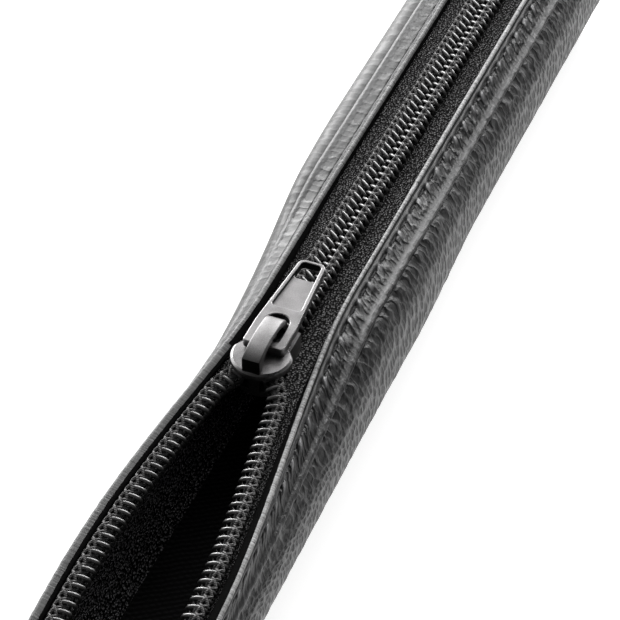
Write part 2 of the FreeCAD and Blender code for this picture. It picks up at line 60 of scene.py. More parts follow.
# %% Sizes read from the frame, in millimetres
TUBE_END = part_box("body_panel")[1].x / MM
CASE_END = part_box("far_end_panel")[1].x / MM
CASE_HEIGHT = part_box("body_panel")[1].z / MM
TAPE_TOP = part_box("tape_left")[1].z / MM
COIL_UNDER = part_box("coil_left")[0].z / MM
COIL_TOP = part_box("coil_left")[1].z / MM
COIL_MIDDLE = (COIL_TOP + COIL_UNDER) / 2
PLATE_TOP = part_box("slider_body")[1].z / MM
SLIDER_NOSE = 6.2
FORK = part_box("slider_body")[0].x / MM + SLIDER_NOSE
print("fork of the chain at %.2f mm, lips %.2f mm high" % (FORK, CASE_HEIGHT))

# %% Sizes of the tube and the zip, in millimetres
LEFT, RIGHT = 1, -1
BOTH_SIDES = (("left", LEFT), ("right", RIGHT))
LEATHER, LIP_RISE, BAND = 1.2, 0.35, 4.8
BAND_SHARE, FLAT_SHARE = 0.7, 0.985
LIP_GAP, LIP_SLOPE = 11.0, 0.09
SOFT_BEND = (-5, -2.5, 0, 2.5, 5)
LIP_LEAD = {LEFT: 6.6, RIGHT: 11.6}
LIP_PEAK = {LEFT: 38.4, RIGHT: 53.4}
LIP_SPREAD = {LEFT: 3.7, RIGHT: 7.68}
COIL_SPREAD, FORK_RUN = {LEFT: 1.2, RIGHT: 1.0}, 9.0
WALL_FAR = {LEFT: 13.3, RIGHT: 11.4}
WALL_MIDDLE = {LEFT: 10.1, RIGHT: 13.3}
WALL_NEAR = {LEFT: 12.2, RIGHT: 12.4}
SETTLE_AT, RIGHT_SWELL = 51.0, (18.0, 12.55)
BELLY_HEIGHT, BASE_HALF = 9.6, 5.5
TURN_SHARE, BELLY_SHARE = 0.45, 0.5
LAYER_GAP, LINING, TAPE = 0.12, 0.5, 0.6
TAPE_EDGE, TAPE_SHARE, LINING_DROP = 0.75, 0.45, 0.04


def ease(part):
    """Smooth step from 0 to 1."""
    part = np.clip(part, 0, 1)
    return part * part * (3 - 2 * part)


def sharp_shift(x, side):
    """How far a lip has moved outward from the closed line, as the CAD solid has it."""
    start, peak = FORK + LIP_LEAD[side], FORK - LIP_PEAK[side]
    part = np.clip((start - x) / (start - peak), 0, 1)
    lead = LIP_SLOPE * (start - peak) * part * (1 - part) ** 2
    rise = lead + LIP_SPREAD[side] * ease(part)
    fall = LIP_SPREAD[side] * ease((x + TUBE_END) / (peak + TUBE_END))
    return np.where(x >= peak, rise, fall)


def lip_shift(x, side):
    """The same with its first bend softened, as leather bends."""
    return np.mean([sharp_shift(x + step, side) for step in SOFT_BEND], axis=0)


def coil_shift(x, side):
    """How far a coil has moved outward from the closed chain."""
    return ease((FORK - x) / FORK_RUN) * (lip_shift(x, side) + COIL_SPREAD[side])


def wall_width(x, side):
    """Distance from the zip line to the widest line of a wall."""
    middle = FORK if side == LEFT else FORK - LIP_PEAK[RIGHT]
    keys = [(SETTLE_AT, WALL_FAR[side]), (middle, WALL_MIDDLE[side]), (-TUBE_END, WALL_NEAR[side])]
    if side == RIGHT:
        keys.insert(1, RIGHT_SWELL)
    width = np.full_like(x, keys[0][1])
    for (far, high), (near, low) in zip(keys, keys[1:]):
        width = np.where(x < far, high + (low - high) * ease((far - x) / (far - near)), width)
    return width


print("mouth at its widest: %.1f mm" % (LIP_GAP + max(LIP_SPREAD.values()) + min(LIP_SPREAD.values())))

# %% [markdown]
# One wall of the tube is measured by the distance along the leather from the lip's edge.
# The first stretch is the doubled band, then an upper curve to the belly and a lower curve to
# the base. A second number says how deep a point lies under the outer face, so that one
# rule gives the skin, its dents and the inside.

# %% One wall of the tube
UPPER_RUN, LOWER_RUN = 12.0, 14.0
BELLY_AT = BAND + UPPER_RUN
FOOT_AT = BELLY_AT + LOWER_RUN


def bezier(poles, part):
    """Point on a four-pole curve."""
    weights = ((1 - part) ** 3, 3 * part * (1 - part) ** 2, 3 * part ** 2 * (1 - part), part ** 3)
    return sum(weight * np.asarray(pole) for weight, pole in zip(weights, poles))


def band_run(x, side):
    """Share of the band's width that lies level, the rest going down."""
    lip = LIP_GAP / 2 + lip_shift(x, side)
    wide = np.maximum(wall_width(x, side), lip + LAYER_GAP)
    return np.minimum(BAND_SHARE * (wide - lip), FLAT_SHARE * BAND) / BAND


class Wall:
    """One side of the cross-section at an array of places along the case."""

    def __init__(self, x, side):
        self.x, self.side = x, side
        self.lip = LIP_GAP / 2 + lip_shift(x, side)
        self.wide = np.maximum(wall_width(x, side), self.lip + LAYER_GAP)
        self.run = np.mean([band_run(x + step, side) for step in SOFT_BEND], axis=0)
        self.drop = -np.sqrt(1 - self.run ** 2)

    def band(self, distance, inset):
        """Point on the flat band beside the lip."""
        y = self.lip + distance * self.run + inset * self.drop
        z = CASE_HEIGHT + distance * self.drop - inset * self.run
        return np.stack([y, z])

    def upper(self, part, inset):
        """Point on the curve from the band to the belly."""
        y, z = self.band(BAND, LIP_RISE + inset)
        wide = self.wide - inset
        reach = TURN_SHARE * np.hypot(wide - y, z - BELLY_HEIGHT)
        turn = (np.minimum(y + reach * self.run, wide), z + reach * self.drop)
        upright = BELLY_HEIGHT + BELLY_SHARE * (z - BELLY_HEIGHT)
        belly = np.full_like(y, BELLY_HEIGHT)
        return bezier([(y, z), turn, (wide, upright), (wide, belly)], part)

    def lower(self, part, inset):
        """Point on the curve from the belly to the base."""
        wide = self.wide - inset
        inset = inset + np.zeros_like(wide)
        belly, foot = np.full_like(wide, BELLY_HEIGHT), np.full_like(wide, BASE_HALF)
        upright = inset + TURN_SHARE * (belly - inset)
        level = foot + BELLY_SHARE * (wide - foot)
        return bezier([(wide, belly), (wide, upright), (level, inset), (foot, inset)], part)

    def skin(self, distance, inset):
        """Point at a distance from the lip, with its depth measured from the wall's own face."""
        if distance <= BAND:
            return self.band(distance, LIP_RISE + inset)
        if distance <= BELLY_AT:
            return self.upper((distance - BAND) / UPPER_RUN, inset)
        return self.lower((distance - BELLY_AT) / LOWER_RUN, inset)

    def under_band(self, height, inset):
        """Where a layer under the band comes up to a height."""
        start = self.band(0, inset)
        return self.band((start[1] - height) / -self.drop, inset)

    def column(self, point):
        """A column of x, y, z along the whole case."""
        return np.stack([self.x, self.side * point[0], point[1]], axis=-1)


print("leather from lip to base: about %.0f mm a side" % (FOOT_AT + BASE_HALF))

# %% [markdown]
# Nearly every soft piece is a grid: columns that run along the case, side by side round a section.
# One helper joins rings of points, closes both ends and adds a UV map in millimetres, so that
# grain and weave follow the surface and keep their scale.

# %% Helpers that make meshes


def put(name, data):
    """An object at the origin for a mesh, a curve, a lamp or a camera."""
    piece = bpy.data.objects.new(name, data)
    bpy.context.scene.collection.objects.link(piece)
    return piece


def smooth(mesh):
    """Shade every face smoothly."""
    mesh.polygons.foreach_set("use_smooth", [True] * len(mesh.polygons))


def new_piece(name, points, faces):
    """A smooth piece from points in millimetres."""
    mesh = bpy.data.meshes.new(name)
    mesh.from_pydata((np.asarray(points, float) * MM).tolist(), [], faces)
    smooth(mesh)
    return put(name, mesh)


def final_mesh(piece):
    """A plain mesh of a piece as its modifiers leave it."""
    return bpy.data.meshes.new_from_object(piece.evaluated_get(bpy.context.evaluated_depsgraph_get()))


def outward(piece):
    """Turn the faces of a closed piece outward."""
    shape = bmesh.new()
    shape.from_mesh(piece.data)
    bmesh.ops.recalc_face_normals(shape, faces=shape.faces)
    shape.to_mesh(piece.data)
    shape.free()


def ring_faces(rings, count):
    """Faces between rings of so many points each."""
    return [(ring * count + spot, ring * count + (spot + 1) % count,
             (ring + 1) * count + (spot + 1) % count, (ring + 1) * count + spot)
            for ring in range(rings - 1) for spot in range(count)]


def closed_piece(name, points, rings, flat):
    """A piece from rings of points with both ends closed, and a flat place for every point."""
    count = len(points) // rings
    ends = [tuple(range(count)), tuple((rings - 1) * count + spot for spot in range(count))]
    piece = new_piece(name, points, ring_faces(rings, count) + ends)
    corners = np.empty(len(piece.data.loops), int)
    piece.data.loops.foreach_get("vertex_index", corners)
    piece.data.uv_layers.new(name="flat").data.foreach_set("uv", flat[corners].ravel())
    outward(piece)
    return piece


def tube_piece(name, columns, across):
    """A closed tube from columns round a section, with UVs of (place along, distance across)."""
    grid = np.stack(columns, axis=1)
    rows, count = grid.shape[:2]
    place = np.repeat(grid[:, 0, 0], count)
    flat = np.stack([place, np.tile(np.asarray(across, float), rows)], axis=-1)
    return closed_piece(name, grid.reshape(-1, 3), rows, flat)


def dress(piece, body, slot, *replaced):
    """Let a finished piece ride on a body in place of CAD nodes."""
    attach(piece, body)
    if replaced:
        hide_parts(*replaced)
    print("%-16s %6d faces" % (piece.name, len(piece.data.polygons)))
    return piece


print("mesh helpers ready")

# %% [markdown]
# Every finish is a Principled shader with noise or weave on the piece's own UV map or on Object
# coordinates. Two short classes add nodes and links, so that each finish reads as a recipe. The first
# works on any tree, also that of the room and of Geometry Nodes, and the second is for materials.

# %% Helpers that make node trees and materials


class Nodes:
    """A node tree and a few ways to add nodes to it."""

    def __init__(self, tree):
        self.tree = tree

    def feed(self, socket, value):
        """Link a socket to another node's output, or set its value."""
        if isinstance(value, bpy.types.NodeSocket):
            self.tree.links.new(value, socket)
        else:
            socket.default_value = value

    def add(self, kind, settings=None, **inputs):
        """A node with its settings, and inputs given by name, or by number as i0, i1 and so on."""
        node = self.tree.nodes.new(kind)
        for key, value in (settings or {}).items():
            setattr(node, key, value)
        for key, value in inputs.items():
            which = int(key[1:]) if key[1:].isdigit() else key.replace("_", " ")
            self.feed(node.inputs[which], value)
        return node

    def math(self, operation, first, second=0.0, third=0.0):
        """Sum, product or another operation on numbers."""
        node = self.add("ShaderNodeMath", {"operation": operation}, i0=first, i1=second, i2=third)
        return node.outputs[0]

    def between(self, value, low, high, start=0.0, end=1.0):
        """Map a range to another, smoothly and with both ends held."""
        node = self.add("ShaderNodeMapRange", {"interpolation_type": "SMOOTHSTEP"}, Value=value,
                        From_Min=low, From_Max=high, To_Min=start, To_Max=end)
        return node.outputs[0]

    def axis(self, vector, number):
        """One coordinate of a vector."""
        return self.add("ShaderNodeSeparateXYZ", None, Vector=vector).outputs[number]


class Finish(Nodes):
    """A material with a Principled shader, and short ways to give it colour, bumps and gloss."""

    def __init__(self, name, **constants):
        self.material = bpy.data.materials.new(name)
        self.material.use_nodes = True
        super().__init__(self.material.node_tree)
        self.shader = self.tree.nodes["Principled BSDF"]
        for socket, value in constants.items():
            self.shader.inputs[socket.replace("_", " ")].default_value = value

    def flat(self, scale=(1, 1, 1), turn=0.0):
        """The piece's own UV map in millimetres, turned and scaled."""
        source = self.add("ShaderNodeUVMap", {"uv_map": "flat"}).outputs["UV"]
        node = self.add("ShaderNodeMapping", None, Vector=source, Rotation=(0, 0, turn), Scale=scale)
        return node.outputs[0]

    def solid(self):
        """Object coordinates in millimetres."""
        source = self.add("ShaderNodeTexCoord").outputs["Object"]
        return self.add("ShaderNodeMapping", None, Vector=source, Scale=(1 / MM, 1 / MM, 1 / MM)).outputs[0]

    def noise(self, vector, scale, detail=2.0, rough=0.5):
        """Cloudy values round one half."""
        node = self.add("ShaderNodeTexNoise", None, Vector=vector, Scale=scale, Detail=detail,
                        Roughness=rough)
        return node.outputs[0]

    def colours(self, value, dark, light):
        """A grey between two tones, by a value from 0 to 1."""
        node = self.add("ShaderNodeMix", {"data_type": "RGBA"}, i0=value, i6=(*dark, 1), i7=(*light, 1))
        self.feed(self.shader.inputs["Base Color"], node.outputs[2])

    def bump(self, height, depth):
        """Raise the surface by a height from 0 to 1, depth in millimetres."""
        node = self.add("ShaderNodeBump", None, Height=height, Distance=depth * MM, Strength=1.0)
        self.feed(self.shader.inputs["Normal"], node.outputs[0])

    def rough(self, value):
        """Let the roughness follow a value."""
        self.feed(self.shader.inputs["Roughness"], value)


print("material helpers ready")

# %% [markdown]
# The leather is a soft black hide with a pitted grain. Where the thread pulls it, the pits stretch and slant
# away from the seam; on the walls they relax. Voronoi cells on the UV map, sheared, stretched and warped by
# noise, give the pits, and the folds between them are painted paler than the pits, a painted shade in the
# pits. The beads between the stitches and the ridge are painted paler still, a painted highlight.

# %% Leather
STITCH_PITCH, STITCH_ROW, STITCH_START = 3.87, 1.55, {LEFT: 3.0, RIGHT: 1.15}
# Slope of the folds, length of a pit along and down the hide, and width of its flat bottom
GRAINS = {"seam": (0.8, 0.95, 2.0, 0.15), "cross": (-0.14, 1.25, 16.0, 0.2),
          "pucker": (-0.12, 1.2, 3.6, 0.25), "wall": (-0.35, 0.95, 2.2, 0.15)}
GRAIN_WARP, GRAIN_TOP = (0.9, 0.5, 0.0), 0.75
# Distances from the lip at which a fold starts, is full, fades and ends
ZONES = {"strip": (0.5, 0.75, 1.25, 1.5), "seam": (1.3, 1.7, 3.1, 4.1), "cross": (1.5, 1.8, 3.8, 4.3),
         "bead": (1.4, 1.6, 1.8, 2.8), "ridge": (3.6, 4.3, 4.85, 5.1), "pucker": (4.8, 5.3, 7.5, 11.0),
         "relaxed": (6.5, 10.5, 90.0, 99.0), "wall": (8.0, 13.0, 90.0, 99.0), "matt": (6.0, 8.2, 9.4, 12.8)}
# Share of a fold on the right side and on the left side
SHARES = {"seam": (1.0, 0.0), "cross": (0.0, 1.0), "bead": (1.0, 0.1), "pucker": (1.0, 0.6),
          "matt": (0.26, 0.0)}
# Height of the folds, and paleness of their crests, which paints shade into the pits and a highlight onto the
# beads and the ridge
HEIGHTS = {"seam": 0.9, "cross": 0.9, "bead": 0.6, "ridge": 0.7, "pucker": 0.85, "relaxed": 1.2, "pores": 0.2}
TONES = {"strip": 0.03, "seam": 0.022, "bead": 0.3, "ridge": 0.048, "pucker": 0.03, "wall": 0.022}
SEAM_SLOPE = GRAINS["seam"][0]
BEAD_OFFSET, BEAD_CORE, BEAD_EDGE = STITCH_PITCH / 2 + SEAM_SLOPE * STITCH_ROW, 0.03, 0.18
FOLD_DEPTH, LEFT_CALM = 0.3, 0.3


class Hide(Finish):
    """Leather measured along the case and by the distance from its lip."""

    def __init__(self, name, **constants):
        super().__init__(name, **constants)
        self.place, self.across = self.axis(self.flat(), 0), self.axis(self.flat(), 1)
        self.distance = self.math("ABSOLUTE", self.across)
        self.side = self.math("GREATER_THAN", self.across, 0.0)
        self.warp = self.add("ShaderNodeTexNoise", None, Vector=self.flat((1, 0.6, 1)), Scale=0.9, Detail=2.0)

    def grain(self, slope, along, down, pit):
        """Folds round pits of so many millimetres along and down the hide, slanted by a slope."""
        slid = self.math("ADD", self.place, self.math("MULTIPLY", self.distance, slope))
        spot = self.add("ShaderNodeCombineXYZ", None, X=self.math("DIVIDE", slid, along),
                        Y=self.math("DIVIDE", self.across, down))
        bent = self.add("ShaderNodeVectorMath", {"operation": "MULTIPLY_ADD"}, i0=self.warp.outputs["Color"],
                        i1=GRAIN_WARP, i2=spot.outputs[0])
        cells = self.add("ShaderNodeTexVoronoi", {"feature": "SMOOTH_F1", "voronoi_dimensions": "2D"},
                         Vector=bent.outputs[0], Scale=1.0, Smoothness=0.12, Randomness=0.9)
        return self.between(cells.outputs["Distance"], pit, GRAIN_TOP)

    def beads(self):
        """Soft spots of hide between the stitches."""
        start = self.math("MULTIPLY_ADD", self.side, STITCH_START[LEFT] - STITCH_START[RIGHT],
                          third=STITCH_START[RIGHT])
        from_start = self.math("SUBTRACT", self.place, start)
        slid = self.math("MULTIPLY_ADD", self.distance, SEAM_SLOPE, third=from_start)
        past_bead = self.math("SUBTRACT", slid, BEAD_OFFSET)
        turns = self.math("FRACT", self.math("DIVIDE", past_bead, STITCH_PITCH))
        from_bead = self.math("ABSOLUTE", self.math("SUBTRACT", turns, 0.5))
        return self.between(from_bead, BEAD_CORE, BEAD_EDGE, 1.0, 0.0)

    def shared(self, value, on_right, on_left):
        """A value with its share on each side of the case."""
        return self.math("MULTIPLY", value, self.between(self.side, 0.0, 1.0, on_right, on_left))

    def fold(self, name, value):
        """A value kept inside its zone, with its share on each side."""
        start, full, fade, end = ZONES[name]
        inside = self.math("MULTIPLY", self.between(self.distance, start, full),
                           self.between(self.distance, fade, end, 1, 0))
        kept = self.math("MULTIPLY", value, inside)
        return self.shared(kept, *SHARES[name]) if name in SHARES else kept

    def weighted(self, folds, weights):
        """Sum of folds, each with its weight."""
        total = 0.0
        for name, weight in weights.items():
            total = self.math("MULTIPLY_ADD", folds[name], weight, third=total)
        return total


def leather_finish():
    """Black pitted hide with a pale seam, ridge and puckers, a painted shade in its pits and a painted
    highlight on the beads and the ridge.
    """
    skin = Hide("black_leather", Specular_IOR_Level=0.5, Sheen_Weight=0.1, Sheen_Roughness=0.3)
    mottle = skin.between(skin.noise(skin.flat((0.8, 1.6, 1)), scale=1.0, detail=3.0), 0.25, 0.75, 0.6, 1.0)
    values = {name: skin.grain(*sizes) for name, sizes in GRAINS.items()}
    values["ridge"] = skin.math("MULTIPLY", mottle, skin.between(values["seam"], 0.0, 1.0, 0.7, 1.0))
    values.update(strip=mottle, relaxed=values["wall"], bead=skin.beads(), matt=1.0)
    folds = {name: skin.fold(name, value) for name, value in values.items()}
    folds["pores"] = skin.noise(skin.flat(), scale=4.0, detail=3.0, rough=0.6)
    relief = skin.weighted(folds, HEIGHTS)
    skin.bump(skin.shared(relief, 1.0, LEFT_CALM), FOLD_DEPTH)
    # Colour follows the folds: painted shade in the pits, painted highlight on the beads and the ridge
    skin.colours(skin.weighted(folds, TONES), dark=(0.005, 0.005, 0.0055), light=(1.0, 1.0, 1.02))
    skin.rough(skin.math("ADD", skin.between(relief, 0.1, 1.0, 0.5, 0.36), folds["matt"]))
    return skin.material


leather = leather_finish()
print("leather: %d shader nodes" % len(leather.node_tree.nodes))

# %% [markdown]
# The rolled edges of the lips are paler than the hide, most of all on the right, and their small wrinkles are
# darker in the hollows, a painted shade. On the left they darken towards the open end. The back of the
# leather is a flat suede that shows only at the cut edge.

# %% Pale lips with painted shade in their wrinkles, and the leather's back
LIP_DIM_AT, LIP_PALE_AT, LIP_DARK_SHARE = FORK - 14, FORK + 6, 0.15


def edge_finish(name, light, mouth_share):
    """A rolled lip, paler than the rest, with small cross wrinkles like beads and a painted shade in their
    hollows.
    """
    edge = Finish(name, Specular_IOR_Level=0.5)
    beads = edge.noise(edge.flat((2.6, 0.6, 1)), scale=1.0, rough=0.6)
    patches = edge.noise(edge.flat((0.25, 0.25, 1)), scale=1.0)
    specks = edge.noise(edge.flat(), scale=5.0)
    height = edge.math("ADD", edge.math("MULTIPLY", beads, 0.75), edge.math("MULTIPLY", specks, 0.25))
    edge.bump(height, depth=0.16)
    pale_patches = edge.between(patches, 0.3, 0.65, 0.6, 1.0)
    # The tone follows the wrinkles' height, a painted shade in their hollows
    tone = edge.math("MULTIPLY", edge.between(height, 0.3, 0.66), pale_patches)
    along = edge.between(edge.axis(edge.flat(), 0), LIP_DIM_AT, LIP_PALE_AT, mouth_share, 1.0)
    edge.colours(edge.math("MULTIPLY", tone, along), [light * LIP_DARK_SHARE] * 3, [light] * 3)
    edge.rough(edge.between(height, 0.3, 0.7, 0.6, 0.42))
    return edge.material


def flesh_finish():
    """The leather's back, a flat dark suede; on the lip's cut face its near-black tone is partly a painted
    shade.
    """
    back = Finish("leather_back", Roughness=0.95, Specular_IOR_Level=0.03)
    nap = back.noise(back.flat(), scale=3.0, detail=3.0, rough=0.6)
    back.colours(nap, dark=[0.002] * 3, light=[0.008] * 3)
    back.bump(nap, depth=0.08)
    return back.material


lip_edges = {RIGHT: edge_finish("pale_lip_right", light=0.6, mouth_share=1.0),
             LEFT: edge_finish("pale_lip_left", light=0.26, mouth_share=0.3)}
leather_back = flesh_finish()
print("finishes of the lips and the back made")

# %% [markdown]
# The body panel is one piece of leather. Its lips are turned and sewn, so each has a rolled
# edge, a crack beside the roll, a band with a row of sunk stitches and a raised ridge where
# the doubling ends. Real needle holes pucker the hide, so the dents are in the mesh, not only painted.

# %% Shape of the leather's skin
# Distance from the lip and depth under the band's top, round the roll and then out to the wall
ROLL = [(0.40, 1.55), (0.12, 1.52), (0.0, 1.35), (-0.05, 0.95), (-0.05, 0.45), (0.0, 0.17), (0.13, 0.02),
        (0.3, -0.04), (0.47, 0.01), (0.56, 0.16)]
PROFILE = [(0.61, 0.42), (0.66, 0.6), (0.73, 0.4), (0.81, 0.17), (0.96, 0.07), (1.25, 0.06), (1.42, 0.14),
           (1.52, 0.3), (1.64, 0.2), (1.9, 0.16), (2.6, 0.27), (3.3, 0.37), (3.85, 0.27), (4.15, 0.06),
           (4.42, -0.06), (4.8, -0.04), (4.92, 0.12), (5.02, 0.46), (5.15, 0.42), (5.6, 0.37), (6.6, 0.34),
           (7.4, 0.35)]
SLOT_DEPTH, SLOT_HALF, BEAD_HALF, BEAD_LIFT = 0.34, 0.15, 0.42, 1.6
# Middle, reach, height and slope of the swags that the thread pulls
PUCKERS = ((1.9, 0.7, 0.2, 0.7), (6.0, 1.4, 0.16, -0.35))
RELIEF, CRACK_END, SHALLOW_CRACK = {LEFT: 0.15, RIGHT: 0.75}, 0.9, 0.1
RIDGE_START, LEFT_VALLEY = 4.35, 0.12
RIGHT_STEPS, LEFT_STEPS = (0.56, 1.55, 4.35, 5.02, 7.4), (0.56, 1.05, 3.1, 4.0, 7.0)
# Length along, length down, seed and share of the slow waves in soft leather
CRUMPLE_WAVES, CRUMPLE_SLOPE, SIDE_SEED = ((2.2, 4.0, 0.0, 0.6), (1.1, 2.6, 9.0, 0.4)), 0.4, 40.0
CRUMPLE_DEPTH, CRUMPLE_AT = 0.13, (0.9, 1.6, 3.2, 4.0, 4.7, 5.2, 22, 27)
CRUMPLE_SHARE = (0.2, 1, 1, 0.25, 0.25, 1, 1, 0)


def placed(step, side):
    """Distance from the lip of a step of the profile. The left band is sewn narrower."""
    if side == LEFT and step < RIGHT_STEPS[-1]:
        return float(np.interp(step, RIGHT_STEPS, LEFT_STEPS))
    return step


def bead_distance(x, side):
    """Distance along the seam to the nearest bead of hide between two stitches."""
    return (x - STITCH_START[side] + STITCH_PITCH / 2) % STITCH_PITCH - STITCH_PITCH / 2


def crumple(x, distance, side):
    """Slow unevenness of soft leather, from -1 to 1."""
    waves = []
    for along, down, seed, share in CRUMPLE_WAVES:
        spots = [((place - CRUMPLE_SLOPE * distance) / along, distance / down, SIDE_SEED * side + seed)
                 for place in x]
        waves.append(share * np.array([noise.noise(spot) for spot in spots]))
    return sum(waves)


def skin_depth(x, distance, side):
    """Depth of the skin under the wall's own face."""
    steps, depths = zip(*PROFILE)
    depth = np.interp(distance, steps, depths) - LIP_RISE if distance < steps[-1] else 0.0
    if side == LEFT and distance < CRACK_END:
        depth = SHALLOW_CRACK - LIP_RISE
    if side == LEFT and STITCH_ROW < distance < RIDGE_START:
        depth = min(depth, LEFT_VALLEY - LIP_RISE)
    bead = np.exp(-(bead_distance(x, side) / BEAD_HALF) ** 2)
    slot = np.exp(-((distance - STITCH_ROW) / SLOT_HALF) ** 2)
    depth = depth + slot * RELIEF[side] * SLOT_DEPTH * (1 - BEAD_LIFT * bead)
    for middle, reach, lift, slope in PUCKERS:
        phase = bead_distance(x + slope * (distance - STITCH_ROW), side) / STITCH_PITCH
        swag = np.exp(-((distance - middle) / reach) ** 2) * np.cos(2 * math.pi * phase)
        depth = depth - RELIEF[side] * lift * swag
    fade = np.interp(distance, CRUMPLE_AT, CRUMPLE_SHARE)
    return depth + CRUMPLE_DEPTH * RELIEF[side] * fade * crumple(x, distance, side)


print("profile of a lip: %d steps" % (len(ROLL) + len(PROFILE)))

# %% [markdown]
# The columns of the panel lie close together over the roll, the seam and the ridge, and spread out down
# the wall, so that the triangles go where the hide bends. The roll, the skin and the back
# of both sides and the base between them make one closed section.

# %% Columns of the body panel
ROW_STEP, BASE_STEPS = 0.335, (3.4, 1.2, 0.05, -0.05, -1.2, -3.4)
ROLL_WOBBLE, WOBBLE_STRETCH, WOBBLE_AT = 0.07, 1.6, 0.5
NEAR_STEPS, RIDGE_STEPS = [step for step, depth in PROFILE[:8]], [4.76, 4.86, 4.94, 5.02, 5.15]
SKIN_STEPS = np.concatenate([NEAR_STEPS, np.arange(1.64, 3.4, 0.22), np.arange(3.5, 4.7, 0.26), RIDGE_STEPS,
                             np.arange(5.4, 9, 0.42), np.arange(9.4, 16, 1.0), np.arange(17, FOOT_AT, 2.6),
                             [FOOT_AT]])
BACK_BAND, BACK_UPPER, BACK_LOWER = (1.6, 3.2, BAND), np.linspace(0.2, 1, 5), np.linspace(0.25, 1, 4)
rows_x = np.linspace(-TUBE_END, TUBE_END, int(2 * TUBE_END / ROW_STEP) + 1)


def outer_columns(wall):
    """The rolled edge of a lip, from its inner foot to the crack, and the skin down to the base."""
    wobble = ROLL_WOBBLE * crumple(rows_x * WOBBLE_STRETCH, WOBBLE_AT, wall.side)
    roll = [wall.band(distance, depth + wobble) for distance, depth in ROLL]
    skin = [wall.skin(placed(step, wall.side), skin_depth(rows_x, step, wall.side)) for step in SKIN_STEPS]
    return [wall.column(point) for point in roll + skin]


def back_columns(wall):
    """The leather's inner face, from the lip down to the base."""
    band = [wall.band(distance, LEATHER + LIP_RISE) for distance in BACK_BAND]
    upper = [wall.upper(part, LEATHER) for part in BACK_UPPER]
    lower = [wall.lower(part, LEATHER) for part in BACK_LOWER]
    return [wall.column(point) for point in band + upper + lower]


def base_columns(height):
    """The flat base at a height, from left to right."""
    level = np.full_like(rows_x, height)
    return [np.stack([rows_x, np.full_like(rows_x, y), level], axis=-1) for y in BASE_STEPS]


walls = {side: Wall(rows_x, side) for side in (LEFT, RIGHT)}
outer = {side: outer_columns(walls[side]) for side in (LEFT, RIGHT)}
inner = {side: back_columns(walls[side]) for side in (LEFT, RIGHT)}
loop = outer[LEFT] + base_columns(0.0) + outer[RIGHT][::-1]
loop += inner[RIGHT] + base_columns(LEATHER)[::-1] + inner[LEFT][::-1]
print("body panel: %d columns of %d points" % (len(loop), len(rows_x)))

# %% [markdown]
# The UV map counts millimetres from the lip, with the right side below zero. The leather's back lies far off
# on the same map. Faces get their finish by column: the back, the rubbed lip or the grained hide.

# %% Body panel
BACK_ACROSS, BASE_ACROSS = 100.0, 120
HIDE, RIGHT_LIP, BACK, LEFT_LIP = range(4)
CUT_FACE, LIP_FINISH = 4, {LEFT: LEFT_LIP, RIGHT: RIGHT_LIP}
PALE_COLUMNS = {LEFT: len(ROLL) + 4, RIGHT: len(ROLL) - 1}
side_across = [distance for distance, depth in ROLL] + list(SKIN_STEPS)
base_across = [math.copysign(FOOT_AT + BASE_HALF - abs(y), y) for y in BASE_STEPS]
back_across = [BACK_ACROSS + step for step in range(len(inner[LEFT]))]
across = side_across + base_across + [-step for step in side_across[::-1]]
across += [-step for step in back_across] + [BASE_ACROSS + y for y in BASE_STEPS] + back_across[::-1]


def panel_finish(column, place):
    """Number of the finish between one column and the next, at a place along the case."""
    last = len(outer[LEFT]) * 2 + len(BASE_STEPS)
    from_lip = min(column, last - 2 - column)
    side = LEFT if column == from_lip else RIGHT
    # The cut face beside the roll gets the near-black back, partly a painted shade
    if from_lip < CUT_FACE - int(side == LEFT and place < FORK):
        return BACK
    return LIP_FINISH[side] if from_lip < PALE_COLUMNS[side] else HIDE


body_panel = tube_piece("leather_body", loop, across)
for finish in (leather, lip_edges[RIGHT], leather_back, lip_edges[LEFT]):
    body_panel.data.materials.append(finish)
finishes = [panel_finish(column, place) for place in rows_x[:-1] for column in range(len(loop))]
body_panel.data.polygons.foreach_set("material_index", finishes + [BACK, BACK])
dress(body_panel, "case", "leather", "body_panel")

# %% [markdown]
# A camera before the details, so that each piece can be set against the photograph. It stands low
# over the open end, on the right, with a long lens, and its small shift keeps the slider
# where the photograph has it.

# %% Camera
VIEW_TURN, VIEW_RISE = math.radians(22.39), math.radians(42.45)
VIEW_DISTANCE, FOCAL_PIXELS, FRAME_PIXELS = 400.0, 2968.1, 620
TARGET_PIXEL, TARGET_AHEAD, TARGET_HEIGHT = (286.8, 330.0), 6.6, 19.7
SENSOR, CLIP_START = 36.0, 0.01
target = Vector((FORK + TARGET_AHEAD, 0, TARGET_HEIGHT)) * MM
ahead = Vector((math.cos(VIEW_TURN) * math.cos(VIEW_RISE), math.sin(VIEW_TURN) * math.cos(VIEW_RISE),
                -math.sin(VIEW_RISE)))
lens = bpy.data.cameras.new("photo_view")
lens.sensor_width, lens.clip_start = SENSOR, CLIP_START
lens.lens = FOCAL_PIXELS / FRAME_PIXELS * SENSOR
lens.shift_x = (FRAME_PIXELS / 2 - TARGET_PIXEL[0]) / FRAME_PIXELS
lens.shift_y = (TARGET_PIXEL[1] - FRAME_PIXELS / 2) / FRAME_PIXELS
camera = put("photo_view", lens)
camera.location = target - ahead * VIEW_DISTANCE * MM
camera.rotation_euler = ahead.to_track_quat("-Z", "Y").to_euler()
bpy.context.scene.camera = camera
print("camera lens %.1f mm" % lens.lens)

# %% [markdown]
# Both ends of the tube are closed by a leather disc. It could be cut from a flat sheet, but a real one
# is pressed a little over the rim, so it is built from rings that shrink and rise.

# %% End panels
ENDS = (("near", -1), ("far", 1))
